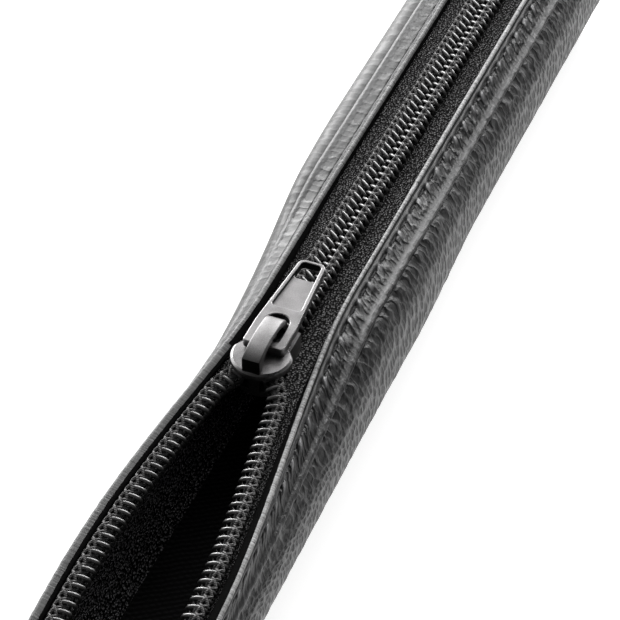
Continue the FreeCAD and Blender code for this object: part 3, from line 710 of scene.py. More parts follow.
# Rise from the end of the tube and inset from its outline, ring by ring
END_RINGS = [(0.0, 0.0), (0.7, 0.0), (1.15, 0.18), (1.4, 0.55), (1.48, 1.1), (1.42, 1.7), (1.3, 2.0),
             (1.36, 2.3), (1.46, 3.0), (1.5, 4.5), (1.5, 7.0), (1.5, 9.0)]
END_STEPS = np.concatenate([np.arange(0.0, 9, 0.8), np.arange(9, FOOT_AT + 0.1, 1.1)])
END_FLAT = (0, 30)


def end_outline(way):
    """Closed outline of the tube at one end, as (y, z) points."""
    halves = []
    for side in (LEFT, RIGHT):
        wall = Wall(np.array([way * TUBE_END]), side)
        halves.append([wall.column(wall.skin(step, 0.0))[0, 1:] for step in END_STEPS])
    return np.array(halves[0] + halves[1][::-1])


def end_disc(name, way, rings, thick_side):
    """A domed disc on the end of the tube from rings of (rise, inset)."""
    outline = end_outline(way)
    middle = (outline.max(0) + outline.min(0)) / 2
    half = (outline.max(0) - outline.min(0)) / 2
    points = []
    for rise, inset in rings:
        shrunk = middle + (outline - middle) * (1 - inset / half.min())
        points += [(way * (TUBE_END + thick_side * rise), y, z) for y, z in shrunk]
    return closed_piece(name, points, len(rings), np.array(points)[:, 1:] + END_FLAT)


for end_name, way in ENDS:
    disc = end_disc(end_name + "_end_leather", way, END_RINGS, 1)
    disc.data.materials.append(leather)
    dress(disc, "case", "leather", end_name + "_end_panel")

# %% [markdown]
# The tapes and the upper lining are a coarse knit, and the floor of the case is twill, near black, partly a
# painted shade. A knit shows as pale loops of uneven size on black, which Voronoi cells give with a tone of
# their own each. Twill is drawn with two wave textures that cross.

# %% Cloth finishes


def knit_finish(name, loops, light, depth):
    """Black cloth with pale loops, so many to the millimetre."""
    knit = Finish(name, Roughness=0.8, Specular_IOR_Level=0.08)
    warp = knit.add("ShaderNodeTexNoise", None, Vector=knit.flat(), Scale=1.2, Detail=1.0)
    spot = knit.add("ShaderNodeVectorMath", {"operation": "MULTIPLY_ADD"}, i0=warp.outputs["Color"],
                    i1=(0.5, 0.5, 0.0), i2=knit.flat((1, 1.25, 1)))
    cells = knit.add("ShaderNodeTexVoronoi", {"voronoi_dimensions": "2D"}, Vector=spot.outputs[0],
                     Scale=loops, Randomness=0.85)
    chance = knit.axis(cells.outputs["Color"], 0)
    loop_tops = knit.between(cells.outputs["Distance"], 0.15, 0.52, 1.0, 0.0)
    tone = knit.math("MULTIPLY", loop_tops, knit.between(chance, 0.1, 0.95, 0.3, 1.0))
    knit.bump(loop_tops, depth)
    knit.colours(tone, [0.003] * 3, light)
    return knit.material


def twill_finish(name, threads, slant, dark, light, depth):
    """Cloth with ribs of thread along and across, threads to the millimetre."""
    cloth = Finish(name, Roughness=0.85, Specular_IOR_Level=0.25)
    ribs = []
    for turn in (slant, -slant):
        spot = cloth.flat((threads, threads, 1), turn)
        wave = cloth.add("ShaderNodeTexWave", {"bands_direction": "X"}, Vector=spot, Scale=0.32,
                         Distortion=1.6, Detail=1.0)
        ribs.append(wave.outputs[1])
    weave = cloth.math("MULTIPLY", ribs[0], cloth.math("ADD", cloth.math("MULTIPLY", ribs[1], 0.5), 0.5))
    fuzz = cloth.noise(cloth.flat(), scale=threads * 1.4, rough=0.7)
    height = cloth.math("MULTIPLY", weave, cloth.math("ADD", cloth.math("MULTIPLY", fuzz, 1.2), 0.3))
    cloth.bump(height, depth)
    cloth.colours(cloth.between(height, 0.08, 0.75), dark, light)
    return cloth.material


tape_cloth = knit_finish("zip_tape", loops=2.6, light=(0.32, 0.316, 0.32), depth=0.18)
wall_cloth = knit_finish("knit_lining", loops=2.1, light=(0.42, 0.415, 0.43), depth=0.2)
# The floor cloth's near-black tones are partly a painted shade
floor_cloth = twill_finish("twill_lining", threads=1.2, slant=0.6, dark=[0.002] * 3,
                           light=(0.016, 0.016, 0.017), depth=0.12)
print("cloth finishes made")

# %% [markdown]
# The lining is a cloth tube sewn in just below the tapes. A cloth simulation could drape it, but it is
# stretched over the walls, so it follows the same section a little deeper. Its floor is twill and its walls
# are knit, by the height of each column; the floor's much darker cloth is partly a painted shade.

# %% Lining
LINING_OUT = LEATHER + LAYER_GAP
LINING_IN = LINING_OUT + LINING
LINING_STEP, FLOOR_CLOTH_TOP = 1.5, 2.6
LINING_UPPER, LINING_LOWER = np.linspace(TAPE_SHARE + LINING_DROP, 1, 6), np.linspace(0.15, 1, 7)
END_LINING = [(0.02, 2.9), (0.02, 3.3), (0.3, 3.4), (0.45, 3.7), (0.45, 6.0), (0.45, 9.0)]
lining_x = np.linspace(-TUBE_END, TUBE_END, int(2 * TUBE_END / LINING_STEP) + 1)


def both_walls(inset):
    """Columns of one face of the lining, from its left edge over the floor to its right edge."""
    halves = []
    for side in (LEFT, RIGHT):
        wall = Wall(lining_x, side)
        points = [wall.upper(part, inset) for part in LINING_UPPER]
        points += [wall.lower(part, inset) for part in LINING_LOWER]
        halves.append([wall.column(point) for point in points])
    return halves[0] + halves[1][::-1]


def run_length(columns, row):
    """Length along the section at one place."""
    points = np.array([column[row] for column in columns])
    return np.concatenate([[0], np.cumsum(np.linalg.norm(np.diff(points, axis=0), axis=1))])


lining_loop = both_walls(LINING_IN) + both_walls(LINING_OUT)[::-1]
middle_row = len(lining_x) // 2
lining_across = run_length(lining_loop[:len(lining_loop) // 2], middle_row)
body_lining = tube_piece("twill_tube", lining_loop, list(lining_across) + list(lining_across[::-1]))
for finish in (wall_cloth, floor_cloth):
    body_lining.data.materials.append(finish)
on_floor = [int(column[middle_row][2] < FLOOR_CLOTH_TOP) for column in lining_loop]
body_lining.data.polygons.foreach_set("material_index", on_floor * (len(lining_x) - 1) + [0, 0])
dress(body_lining, "case", "lining", "body_lining")

for end_name, way in ENDS:
    disc = end_disc(end_name + "_end_twill", way, END_LINING, -1)
    disc.data.materials.append(wall_cloth)
    dress(disc, "case", "lining", end_name + "_end_lining")

# %% [markdown]
# Each half of the zip is sewn to a tape that lies flat beside the coil, turns under the lip and hangs
# inside the wall. A strip could be bent by a modifier, but the path of its section is known, so
# its two faces are laid along it as columns.

# %% Zip tapes
TAPE_ROW = 0.75
TAPE_FLAT, TAPE_SLOPE = np.linspace(0, 1, 8), np.linspace(0.25, 1, 4)
TAPE_HANG = np.linspace(0.1, TAPE_SHARE, 4)
tape_x = np.linspace(-TUBE_END, TUBE_END, int(2 * TUBE_END / TAPE_ROW) + 1)
closed_row = 3 * len(tape_x) // 4


def tape_path(wall, depth):
    """Columns of one face of a tape: flat beside the coil, then down the inside of the wall."""
    height = TAPE_TOP - depth
    inset = LEATHER + LIP_RISE + LAYER_GAP + depth
    start = np.stack([TAPE_EDGE + coil_shift(wall.x, wall.side), np.full_like(wall.x, height)])
    fold = wall.under_band(height, inset)
    end_of_band = wall.band(BAND, inset)
    flat = [start + (fold - start) * part for part in TAPE_FLAT]
    slope = [fold + (end_of_band - fold) * part for part in TAPE_SLOPE]
    hang = [wall.upper(part, inset - LIP_RISE) for part in TAPE_HANG]
    return [wall.column(point) for point in flat + slope + hang]


for side_name, side in BOTH_SIDES:
    wall = Wall(tape_x, side)
    top, under = tape_path(wall, 0.0), tape_path(wall, TAPE)
    reach = run_length(top, closed_row)
    tape = tube_piece("woven_tape_" + side_name, top + under[::-1], list(reach) + list(reach[::-1]))
    tape.data.materials.append(tape_cloth)
    dress(tape, "case", "tape", "tape_" + side_name)

# %% [markdown]
# What repeats along a line is placed by one Geometry Nodes tree: the turns of the coils, the thread over
# them and the stitches on the lips. The path is a row of points that carry a heading and a lean, and
# the tree turns one small shape to each. Real instances would be lost later, so they are realized.

# %% A tree that repeats a small shape along a path
TREE_SOCKETS = (("Path", "INPUT", "Geometry"), ("Shape", "INPUT", "Object"), ("Finish", "INPUT", "Material"),
                ("Result", "OUTPUT", "Geometry"))


def repeat_tree():
    """A tree that sets a shape on every point, turned to the point's heading and then to its lean."""
    tree = bpy.data.node_groups.new("repeat_along", "GeometryNodeTree")
    for name, way, kind in TREE_SOCKETS:
        tree.interface.new_socket(name, in_out=way, socket_type="NodeSocket" + kind)
    build, turned = Nodes(tree), (0, 0, 0)
    given = build.add("NodeGroupInput").outputs
    for attribute, axis, pivot in (("heading", "X", "AUTO"), ("lean", "Z", "X")):
        named = build.add("GeometryNodeInputNamedAttribute", {"data_type": "FLOAT_VECTOR"}, Name=attribute)
        turn = build.add("FunctionNodeAlignRotationToVector", {"axis": axis, "pivot_axis": pivot},
                         Rotation=turned, Vector=named.outputs["Attribute"])
        turned = turn.outputs["Rotation"]
    shape = build.add("GeometryNodeObjectInfo", None, Object=given["Shape"]).outputs["Geometry"]
    row = build.add("GeometryNodeInstanceOnPoints", None, Points=given["Path"], Instance=shape,
                    Rotation=turned)
    plain = build.add("GeometryNodeRealizeInstances", None, Geometry=row.outputs["Instances"])
    painted = build.add("GeometryNodeSetMaterial", None, Geometry=plain.outputs["Geometry"],
                        Material=given["Finish"])
    build.add("NodeGroupOutput", None, Result=painted.outputs["Geometry"])
    return tree


REPEAT = repeat_tree()
print("tree that repeats a shape: %d nodes" % len(REPEAT.nodes))

# %% Helpers that repeat a shape and make small tubes


def socket_of(tree, name):
    """Identifier of a tree's input."""
    return next(item.identifier for item in tree.interface.items_tree if item.name == name)


def repeated(name, points, heading, lean, shape, finish):
    """A plain mesh of one shape repeated at points in millimetres."""
    path = new_piece(name, points, [])
    for key, vectors in (("heading", heading), ("lean", lean)):
        path.data.attributes.new(key, "FLOAT_VECTOR", "POINT").data.foreach_set("vector", np.ravel(vectors))
    modifier = path.modifiers.new("repeat", "NODES")
    modifier.node_group = REPEAT
    for key, value in (("Shape", shape), ("Finish", finish)):
        modifier[socket_of(REPEAT, key)] = value
    mesh = final_mesh(path)
    path.modifiers.clear()
    row, path.data = path.data, mesh
    bpy.data.meshes.remove(row)
    smooth(mesh)
    return path


def tube_rings(points, radii, sides):
    """Points and faces of an open tube along a short path."""
    points = np.asarray(points, float)
    rings = []
    for point, way, radius in zip(points, np.gradient(points, axis=0), radii):
        turn = Vector(way).to_track_quat("Z", "Y").to_matrix()
        for number in range(sides):
            angle = 2 * math.pi * number / sides
            spoke = turn @ Vector((math.cos(angle), math.sin(angle), 0))
            rings.append(tuple(point + np.array(spoke) * radius))
    return rings, ring_faces(len(points), sides)


def small_shape(name, tubes):
    """A loose object made of short tubes, to be repeated."""
    points, faces = [], []
    for tube_points, tube_faces in tubes:
        faces += [tuple(corner + len(points) for corner in face) for face in tube_faces]
        points += tube_points
    return new_piece(name, points, faces)


print("helpers for rows of small shapes ready")

# %% [markdown]
# The filament is a hard black plastic with a clear gloss. Its tone follows the height on the coil, paler on
# the tops of the turns, a painted highlight, and darker below, a painted shade. The threads are twisted,
# which a slanted wave shows as well as real strands would at this size.

# %% Filament and thread finishes
# Heights over which the turns go from painted shade below to a painted highlight on top
LIT_TOP_FROM, LIT_TOP_TO = COIL_MIDDLE + 0.25, COIL_MIDDLE + 0.85


def filament_finish():
    """Glossy black plastic, its tops paler by a painted highlight and its lower parts darker by a painted
    shade.
    """
    wire = Finish("coil_filament", Specular_IOR_Level=1.0, Coat_Weight=1.0, Coat_Roughness=0.27)
    cloud = wire.noise(wire.solid(), scale=1.5)
    # Paler tops and darker lower parts by height, a painted highlight and a painted shade
    lit_top = wire.between(wire.axis(wire.solid(), 2), LIT_TOP_FROM, LIT_TOP_TO)
    tone = wire.math("MULTIPLY", lit_top, wire.between(cloud, 0.3, 0.7, 0.6, 1.0))
    wire.colours(tone, dark=(0.006, 0.0059, 0.0059), light=(0.11, 0.108, 0.108))
    wire.rough(wire.between(cloud, 0.3, 0.7, 0.42, 0.32))
    wire.bump(wire.noise(wire.solid(), scale=6.0, detail=1.0), depth=0.015)
    return wire.material


def thread_finish(name, dark, light):
    """Twisted thread in two tones."""
    thread = Finish(name, Roughness=0.6, Specular_IOR_Level=0.4, Sheen_Weight=0.1)
    twist = thread.add("ShaderNodeTexWave", {"bands_direction": "DIAGONAL"}, Vector=thread.solid(), Scale=1.6)
    thread.bump(twist.outputs[1], depth=0.05)
    thread.colours(twist.outputs[1], dark, light)
    return thread.material


filament = filament_finish()
coil_thread = thread_finish("coil_thread", dark=(0.05, 0.049, 0.049), light=(0.24, 0.235, 0.235))
lip_thread = thread_finish("lip_thread", dark=[0.012] * 3, light=(0.045, 0.045, 0.047))
print("filament and thread finishes made")

# %% [markdown]
# A coil zip is a single hard filament wound into a flat spiral and sewn to the tape. One turn is a
# top leg, a loop at the head that locks into the other coil, a lower leg and a loop at the back. Its two ends
# are one pitch apart, so turns set at that pitch join into one unbroken winding.

# %% Turns of a coil, its thread and its cord
PITCH, WIRE, WIRE_SIDES = 1.5, 0.25, 6
COIL_END = CASE_END - 8.0
FIRST_TURN = {LEFT: 1.0, RIGHT: 0.5}
# Distance out from the chain's line and height over the coil's middle, round one turn
TURN_SECTION = [(2.34, 0.1), (2.16, 0.48), (1.75, 0.7), (1.2, 0.77), (0.62, 0.68), (0.1, 0.4), (-0.16, 0.0),
                (-0.06, -0.4), (0.4, -0.68), (1.1, -0.75), (1.8, -0.66), (2.24, -0.3)]
LEG_KNOTS, HEAD_RING, HEAD_SWELL = (0, 1, 5, 7, 11, 12), 6, 1.18
CROSS_SHARES, CROSS_HALF, CROSS_RISE = (-1, -0.5, 0, 0.5, 1), 0.5, 0.3
THREAD, THREAD_SIDES, DOWN_THREAD = 0.19, 4, 0.9
CORE_HALF, CORE_AT = 0.5, 1.15


def turn_shape(side, slant):
    """One turn of the filament round the X axis, with its back outward and its top leg slanted."""
    ahead_half, behind_half = slant / 2, -slant / 2
    shares = np.interp(range(len(TURN_SECTION) + 1), LEG_KNOTS,
                       (ahead_half, ahead_half, behind_half, behind_half, ahead_half - 1, ahead_half - 1))
    section = TURN_SECTION + TURN_SECTION[:1]
    path = [(share * PITCH, side * y, z) for share, (y, z) in zip(shares, section)]
    radii = [WIRE * (HEAD_SWELL if abs(number - HEAD_RING) < 2 else 1.0) for number in range(len(path))]
    return small_shape("turn", [tube_rings(path, radii, WIRE_SIDES)])


def cross_shape(side, middle):
    """Two threads that cross over a leg, and on the left one that runs down to the tape."""
    top, tubes = COIL_TOP - COIL_MIDDLE - WIRE, []
    for way in (1, -1):
        path = [(share * PITCH / 2, side * (middle + way * share * CROSS_HALF),
                 top + CROSS_RISE * (1 - 2 * share ** 2)) for share in CROSS_SHARES]
        tubes.append(tube_rings(path, [THREAD] * len(path), THREAD_SIDES))
    if side == LEFT:
        down = [(0.1, middle + 0.1, top + 0.2), (-0.2, middle + 0.5, top - 0.2),
                (-0.6, middle + 1.1, TAPE_TOP - COIL_MIDDLE + 0.1)]
        tubes.append(tube_rings(down, [THREAD * DOWN_THREAD] * len(down), THREAD_SIDES))
    return small_shape("cross", tubes)


def chain_path(side):
    """Places of one coil's turns, with the way that the coil runs there."""
    count = int(2 * COIL_END / PITCH) - 1
    x = -COIL_END + PITCH * (FIRST_TURN[side] + np.arange(count))
    points = np.stack([x, side * coil_shift(x, side), np.full_like(x, COIL_MIDDLE)], axis=-1)
    return points, np.gradient(points, axis=0), np.tile((0.0, 0.0, 1.0), (count, 1))


def core_cord(side):
    """The cord that the filament is wound round, as a dark tube along the coil."""
    points = chain_path(side)[0] + (0, side * CORE_AT, 0)
    cord = new_piece("core", *tube_rings(points, [CORE_HALF] * len(points), WIRE_SIDES))
    cord.data.materials.append(lip_thread)
    return cord


print("turns on a coil: %d" % len(chain_path(LEFT)[0]))

# %% [markdown]
# The closed chain and the open coils differ: the legs slant the other way once they are locked, and on the
# right the sewing sits further in. So each coil is built in two stretches and joined into one mesh.

# %% Coils
JOIN_WITHIN = 0.002
CLOSED_SLANT, OPEN_SLANT = {LEFT: 1.0, RIGHT: -1.0}, {LEFT: -0.2, RIGHT: 0.05}
CLOSED_SEWN, OPEN_SEWN = {LEFT: 1.85, RIGHT: 1.25}, {LEFT: 1.85, RIGHT: 1.75}


def join(name, *objects):
    """One object from several meshes at the origin."""
    shape = bmesh.new()
    finishes = []
    for item in objects:
        start = len(shape.faces)
        shape.from_mesh(item.data)
        shape.faces.ensure_lookup_table()
        for finish in item.data.materials:
            if finish not in finishes:
                finishes.append(finish)
        numbers = [finishes.index(finish) for finish in item.data.materials]
        for face in shape.faces[start:]:
            face.material_index = numbers[face.material_index]
    bmesh.ops.remove_doubles(shape, verts=shape.verts, dist=JOIN_WITHIN * MM)
    mesh = bpy.data.meshes.new(name)
    shape.to_mesh(mesh)
    shape.free()
    for finish in finishes:
        mesh.materials.append(finish)
    for item in objects:
        bpy.data.objects.remove(item)
    return put(name, mesh)


for side_name, side in BOTH_SIDES:
    points, heading, lean = chain_path(side)
    parted, strands = points[:, 0] < FORK, []
    for stretch, slants, sewn in ((parted, OPEN_SLANT, OPEN_SEWN), (~parted, CLOSED_SLANT, CLOSED_SEWN)):
        spots = points[stretch], heading[stretch], lean[stretch]
        turn, cross = turn_shape(side, slants[side]), cross_shape(side, sewn[side])
        for shape, finish in ((turn, filament), (cross, coil_thread)):
            strands.append(repeated("strand", *spots, shape, finish))
            bpy.data.objects.remove(shape)
    coil = join("coil_winding_" + side_name, *strands, core_cord(side))
    outward(coil)
    dress(coil, "case", "coil", "coil_" + side_name)

# %% [markdown]
# The lips are sewn with a thick dark thread that sinks between its holes. One stitch is a tube that
# dives at both ends, and the same tree sets it along the row of holes.

# %% Lip stitches
STITCH_HALF, LIP_THREAD, STITCH_SINK, SEAM_MARGIN = 1.5, 0.16, 0.55, 4
STITCH_SHARES, STITCH_CREST, STITCH_DIVE = (-1.15, -0.9, -0.45, 0, 0.45, 0.9, 1.15), 0.12, 0.5
stitch_path = [(share * STITCH_HALF, 0, STITCH_CREST - STITCH_DIVE * share ** 4) for share in STITCH_SHARES]
stitch = small_shape("stitch", [tube_rings(stitch_path, [LIP_THREAD] * len(stitch_path), WIRE_SIDES)])
for side_name, side in BOTH_SIDES:
    x = np.arange(-TUBE_END + SEAM_MARGIN, TUBE_END - SEAM_MARGIN, STITCH_PITCH)
    x = x - bead_distance(x, side) + STITCH_PITCH / 2
    wall = Wall(x, side)
    points = wall.column(wall.skin(placed(STITCH_ROW, side), -LIP_RISE + STITCH_SINK))
    lean = wall.column(np.stack([-wall.drop, wall.run])) * (0, 1, 1)
    heading = np.gradient(points, axis=0)
    stitches = repeated("lip_stitches_" + side_name, points, heading, lean, stitch, lip_thread)
    dress(stitches, "case", "leather")
bpy.data.objects.remove(stitch)

# %% [markdown]
# Slider, crown and pull are die-cast metal with a satin gunmetal plating. Noise gives a fine grit and slow
# clouds in tone and gloss. Rims are paler, partly rubbed wear and partly a painted highlight; recesses and
# the crown's nose face get a near-black metal, a painted shade, and the crown's colour darkens towards its
# nose, a painted shade too.

# %% Metal finishes
GRIT_SPAN, NOSE_SHADE_TONES = (0.55, 1.15), (0.33, 0.66)
CROWN_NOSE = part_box("slider_crown")[0].x / MM
CROWN_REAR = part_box("slider_crown")[1].x / MM
# Span over which the crown's colour darkens towards its nose, a painted shade
CROWN_NOSE_SHADE = (CROWN_NOSE - 0.8, CROWN_NOSE + 3.2)


def plated_finish(name, dark, light, rough, fade=None):
    """Plated metal between two tones; with a fade, the colour darkens towards the first of two places along
    the case, a painted shade.
    """
    metal = Finish(name, Metallic=1.0)
    cloud = metal.noise(metal.solid(), scale=0.5, detail=3.0)
    grit = metal.noise(metal.solid(), scale=9.0, rough=0.7)
    grain = metal.math("MULTIPLY_ADD", grit, 1.2, third=metal.math("MULTIPLY", cloud, 0.5))
    tone = metal.between(grain, *GRIT_SPAN)
    if fade:
        # Painted shade: the colour darkens towards the first place of the fade
        unshaded_share = metal.between(metal.axis(metal.solid(), 0), *fade)
        tone = metal.math("MULTIPLY", metal.between(grain, *GRIT_SPAN, *NOSE_SHADE_TONES), unshaded_share)
    metal.colours(tone, dark, light)
    metal.rough(metal.between(cloud, 0.25, 0.75, rough - 0.05, rough + 0.06))
    metal.bump(grit, depth=0.006)
    return metal.material


gunmetal = plated_finish("satin_gunmetal", (0.14, 0.137, 0.138), (0.25, 0.245, 0.247), rough=0.4)
crown_metal_shaded_nose = plated_finish("crown_metal_shaded_nose", [0.025] * 3, (0.36, 0.353, 0.355), rough=0.4, fade=CROWN_NOSE_SHADE)
# Paler rim metal, partly rubbed wear and partly a painted highlight
worn_and_highlit_metal = plated_finish("rubbed_rim_highlight", (0.6, 0.59, 0.595), (0.75, 0.74, 0.745), rough=0.3)
# Near-black metal, a painted shade on the pull's recess walls and the crown's nose face
shade_painted_metal = plated_finish("painted_shade_metal", [0.012] * 3, [0.03] * 3, rough=0.45)
spring_steel = plated_finish("spring_steel", (0.38, 0.38, 0.39), (0.5, 0.5, 0.51), rough=0.3)
print("metal finishes made")

# %% [markdown]
# Cast edges are never sharp. The slider body and the end stops are copies of their CAD nodes with small
# bevels, since their shapes are already right, and the lock spring is the CAD node itself. The slider's
# tail is drawn in a little, because the real pull covers it.

# %% Slider body and end stops
EDGE_ROUND, EDGE_STEPS, RIM_TILT = 0.14, 3, (0.3, 0.95)
MERGE_WITHIN, FLAT_WITHIN, SHARP_FROM = 0.001, math.radians(2), math.radians(28)
SLIDER_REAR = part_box("slider_body")[1].x / MM
TAIL_FRONT, TAIL_REAR, TAIL_PINCH, PINCH_RATE = FORK - 1.5, CROWN_REAR + 0.2, 0.91, 4


def softened(name, node, moved=None):
    """A copy of a CAD node with its loose triangles merged and its edges rounded."""
    shape = bmesh.new()
    shape.from_mesh(nodes[node].data)
    bmesh.ops.remove_doubles(shape, verts=shape.verts, dist=MERGE_WITHIN * MM)
    bmesh.ops.dissolve_limit(shape, angle_limit=FLAT_WITHIN, verts=shape.verts, edges=shape.edges)
    for corner in shape.verts if moved else ():
        corner.co = moved(corner.co)
    mesh = bpy.data.meshes.new(name)
    shape.to_mesh(mesh)
    shape.free()
    smooth(mesh)
    piece = put(name, mesh)
    bevel = piece.modifiers.new("round", "BEVEL")
    bevel.width, bevel.segments = EDGE_ROUND * MM, EDGE_STEPS
    bevel.limit_method, bevel.angle_limit = "ANGLE", SHARP_FROM
    bevel.harden_normals = True
    rounded_mesh = final_mesh(piece)
    piece.modifiers.clear()
    piece.data = rounded_mesh
    return piece


def rub_and_highlight_rims(piece):
    """Give the rounded rims round the level faces of a piece a paler metal, partly rubbed wear and partly a
    painted highlight.
    """
    piece.data.materials.append(worn_and_highlit_metal)
    for rim in piece.data.polygons:
        if RIM_TILT[0] < abs(rim.normal.z) < RIM_TILT[1]:
            rim.material_index = len(piece.data.materials) - 1


def slim_tail(point):
    """Draw the slider's tail in, so that the pull covers it."""
    x, y, z = point / MM
    part = min(max((x - TAIL_FRONT) / (SLIDER_REAR - TAIL_FRONT), 0), 1)
    x = x if x < TAIL_FRONT else TAIL_FRONT + part * (TAIL_REAR - TAIL_FRONT)
    return Vector((x, y * (1 + (TAIL_PINCH - 1) * min(PINCH_RATE * part, 1)), z)) * MM


slider = softened("slider_casting", "slider_body", slim_tail)
slider.data.materials.append(gunmetal)
rub_and_highlight_rims(slider)
dress(slider, "slider", "slider", "slider_body")

for stop in ("top_stop_left", "top_stop_right", "bottom_stop"):
    piece = softened(stop + "_clamp", stop)
    piece.data.materials.append(gunmetal)
    dress(piece, "case", "slider", stop)
nodes["lock_spring"].data.materials.clear()
nodes["lock_spring"].data.materials.append(spring_steel)

# %% [markdown]
# Crown and pull are made afresh, because their curves show in every reflection. Both are plates: a filled
# curve with holes gives the outline, and the curve's own bevel rounds every rim. A beveled
# mesh would pinch where a hole comes close to an edge.

# %% Rounded outlines and plates
RIM_ROUND, RIM_STEPS, ARC_STEPS = 0.17, 2, 6


def rounded(corners, radii):
    """Outline whose corners are replaced by arcs."""
    outline = []
    for number, (corner, radius) in enumerate(zip(corners, radii)):
        here = Vector(corner)
        back = (Vector(corners[number - 1]) - here).normalized()
        forth = (Vector(corners[(number + 1) % len(corners)]) - here).normalized()
        half = back.angle(forth) / 2
        centre = here + (back + forth).normalized() * radius / math.sin(half)
        first = here + back * radius / math.tan(half) - centre
        last = here + forth * radius / math.tan(half) - centre
        for step in range(ARC_STEPS + 1):
            outline.append(centre + first.slerp(last, step / ARC_STEPS) * radius)
    return outline


def plate_piece(name, outlines, low, high, finish):
    """A flat plate with holes and rounded rims, from outlines in millimetres."""
    flat = bpy.data.curves.new(name, "CURVE")
    flat.dimensions, flat.fill_mode = "2D", "BOTH"
    flat.bevel_depth, flat.offset, flat.bevel_resolution = RIM_ROUND * MM, -RIM_ROUND * MM, RIM_STEPS
    flat.extrude = ((high - low) / 2 - RIM_ROUND) * MM
    for outline in outlines:
        spline = flat.splines.new("POLY")
        spline.points.add(len(outline) - 1)
        for point, spot in zip(spline.points, outline):
            point.co = (spot[0] * MM, spot[1] * MM, 0, 1)
        spline.use_cyclic_u = True
    holder = put(name, flat)
    mesh = final_mesh(holder)
    bpy.data.objects.remove(holder)
    mesh.transform(Matrix.Translation((0, 0, (low + high) / 2 * MM)))
    mesh.materials.append(finish)
    return put(name, mesh)


print("rims of plates are rounded by %.2f mm" % RIM_ROUND)

# %% [markdown]
# The crown is the arched strap that holds the pull. Its side view is a plate on edge: a flat nose, a long
# back and a round rear foot, with the opening under it drawn by two more curves.

# %% Crown
CROWN_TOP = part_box("slider_crown")[1].z / MM
CROWN_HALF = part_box("slider_crown")[1].y / MM
NOSE_HEIGHT, FOOT_SINK, STRAP, NOSE_TILT = 2.1, 0.05, 0.85, 0.9
CROWN_SHARP = math.radians(40)


def curve(*poles):
    """Points along a four-pole curve."""
    return [bezier(poles, part) for part in np.linspace(0, 1, 13)]


def crown_outline():
    """Side view of the strap: over its back from nose to rear foot, then back through the opening."""
    front, rear, top, base = CROWN_NOSE, CROWN_REAR, CROWN_TOP, PLATE_TOP - FOOT_SINK
    under, inner_rear = top - STRAP, rear - STRAP
    nose, knee = (front, PLATE_TOP + NOSE_HEIGHT), (rear - 1.9, top - 0.35)
    arch = (rear - 4.2, under)
    over = curve(nose, (front + 2.6, top + 0.05), (rear - 4.6, top + 0.1), knee)
    down = curve(knee, (rear - 0.6, top - 0.6), (rear, base + 1.7), (rear, base))
    up = curve((inner_rear, base + 0.4), (inner_rear, under - 0.9), (rear - 2.0, under - 0.2), arch)
    back = curve(arch, (front + 3.2, under), (front + 1.2, base + 1.9), (front + 1.1, base))
    return [(front, base)] + over + down[1:] + [(inner_rear, base)] + up + back[1:]


crown = plate_piece("crown_strap", [crown_outline()], -CROWN_HALF, CROWN_HALF, crown_metal_shaded_nose)
crown.data.transform(Matrix.Rotation(math.radians(90), 4, "X"))
smooth(crown.data)
crown.data.set_sharp_from_angle(angle=CROWN_SHARP)
# The crown's nose face gets the near-black metal, a painted shade
crown.data.materials.append(shade_painted_metal)
for nose_face in crown.data.polygons:
    nose_face.material_index = int(nose_face.normal.x < -NOSE_TILT)
dress(crown, "slider", "slider", "slider_crown")

# %% [markdown]
# The pull is a flat tapered plate with an eye for the crown and a hole at its tip. Its sunk face could
# be cut out, but two layers are simpler: a full plate below and a rim above.

# %% Pull
PULL_AXIS = FORK - 1.2
PULL_LOW, PULL_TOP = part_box("pull_tab")[0].z / MM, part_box("pull_tab")[1].z / MM
PULL_START, PULL_LENGTH, PULL_STRAIGHT = -0.6, 17.5, 4.0
PULL_HALF, TIP_HALF = 2.95, 1.9
EYE_START, EYE_END, EYE_HALF = 0.6, 6.0, 1.7
FACE_START, FACE_DEPTH, RIM, TIP_HOLE = 7.4, 0.45, 0.55, 2.9
FACE_END = PULL_LENGTH - RIM
RECESS_MARGIN, STEEP = 0.3, 0.5


def pull_half(x):
    """Half the width of the pull at a distance from its pivot."""
    return PULL_HALF + (TIP_HALF - PULL_HALF) * max(x - PULL_STRAIGHT, 0) / (PULL_LENGTH - PULL_STRAIGHT)


def inside_rim(x):
    """Corner inside the rim at a distance from the pivot."""
    return (x, pull_half(x) - RIM)


def pull_outline(corners, radii):
    """Rounded outline in its place, from the corners on its left side and their radii."""
    points = rounded(corners + [(x, -y) for x, y in corners[::-1]], radii + radii[::-1])
    return [(x + PULL_AXIS, y) for x, y in points]


def in_recess(wall_face):
    """Whether a face is a steep wall inside the pull's outline."""
    x, y = wall_face.center.x / MM - PULL_AXIS, wall_face.center.y / MM
    along = RECESS_MARGIN < x < PULL_LENGTH - RECESS_MARGIN
    return along and abs(y) < pull_half(x) - RECESS_MARGIN and abs(wall_face.normal.z) < STEEP


outline = pull_outline([(PULL_START, PULL_HALF), (PULL_STRAIGHT, PULL_HALF), (PULL_LENGTH, TIP_HALF)],
                       (0.5, 2.0, 1.0))
eye = pull_outline([(EYE_START, EYE_HALF), (EYE_END, EYE_HALF)], (0.3, 1.6))
window = pull_outline([inside_rim(FACE_END - TIP_HOLE), inside_rim(FACE_END)], (0.5, 0.55))
face = pull_outline([inside_rim(FACE_START), inside_rim(FACE_END)], (0.5, 0.55))
step_at = PULL_TOP - FACE_DEPTH
lower = plate_piece("pull_lower", [outline, eye, window], PULL_LOW, step_at, gunmetal)
upper = plate_piece("pull_rim", [outline, eye, face], step_at - 2 * RIM_ROUND, PULL_TOP, gunmetal)
pull = join("pull_plate", lower, upper)
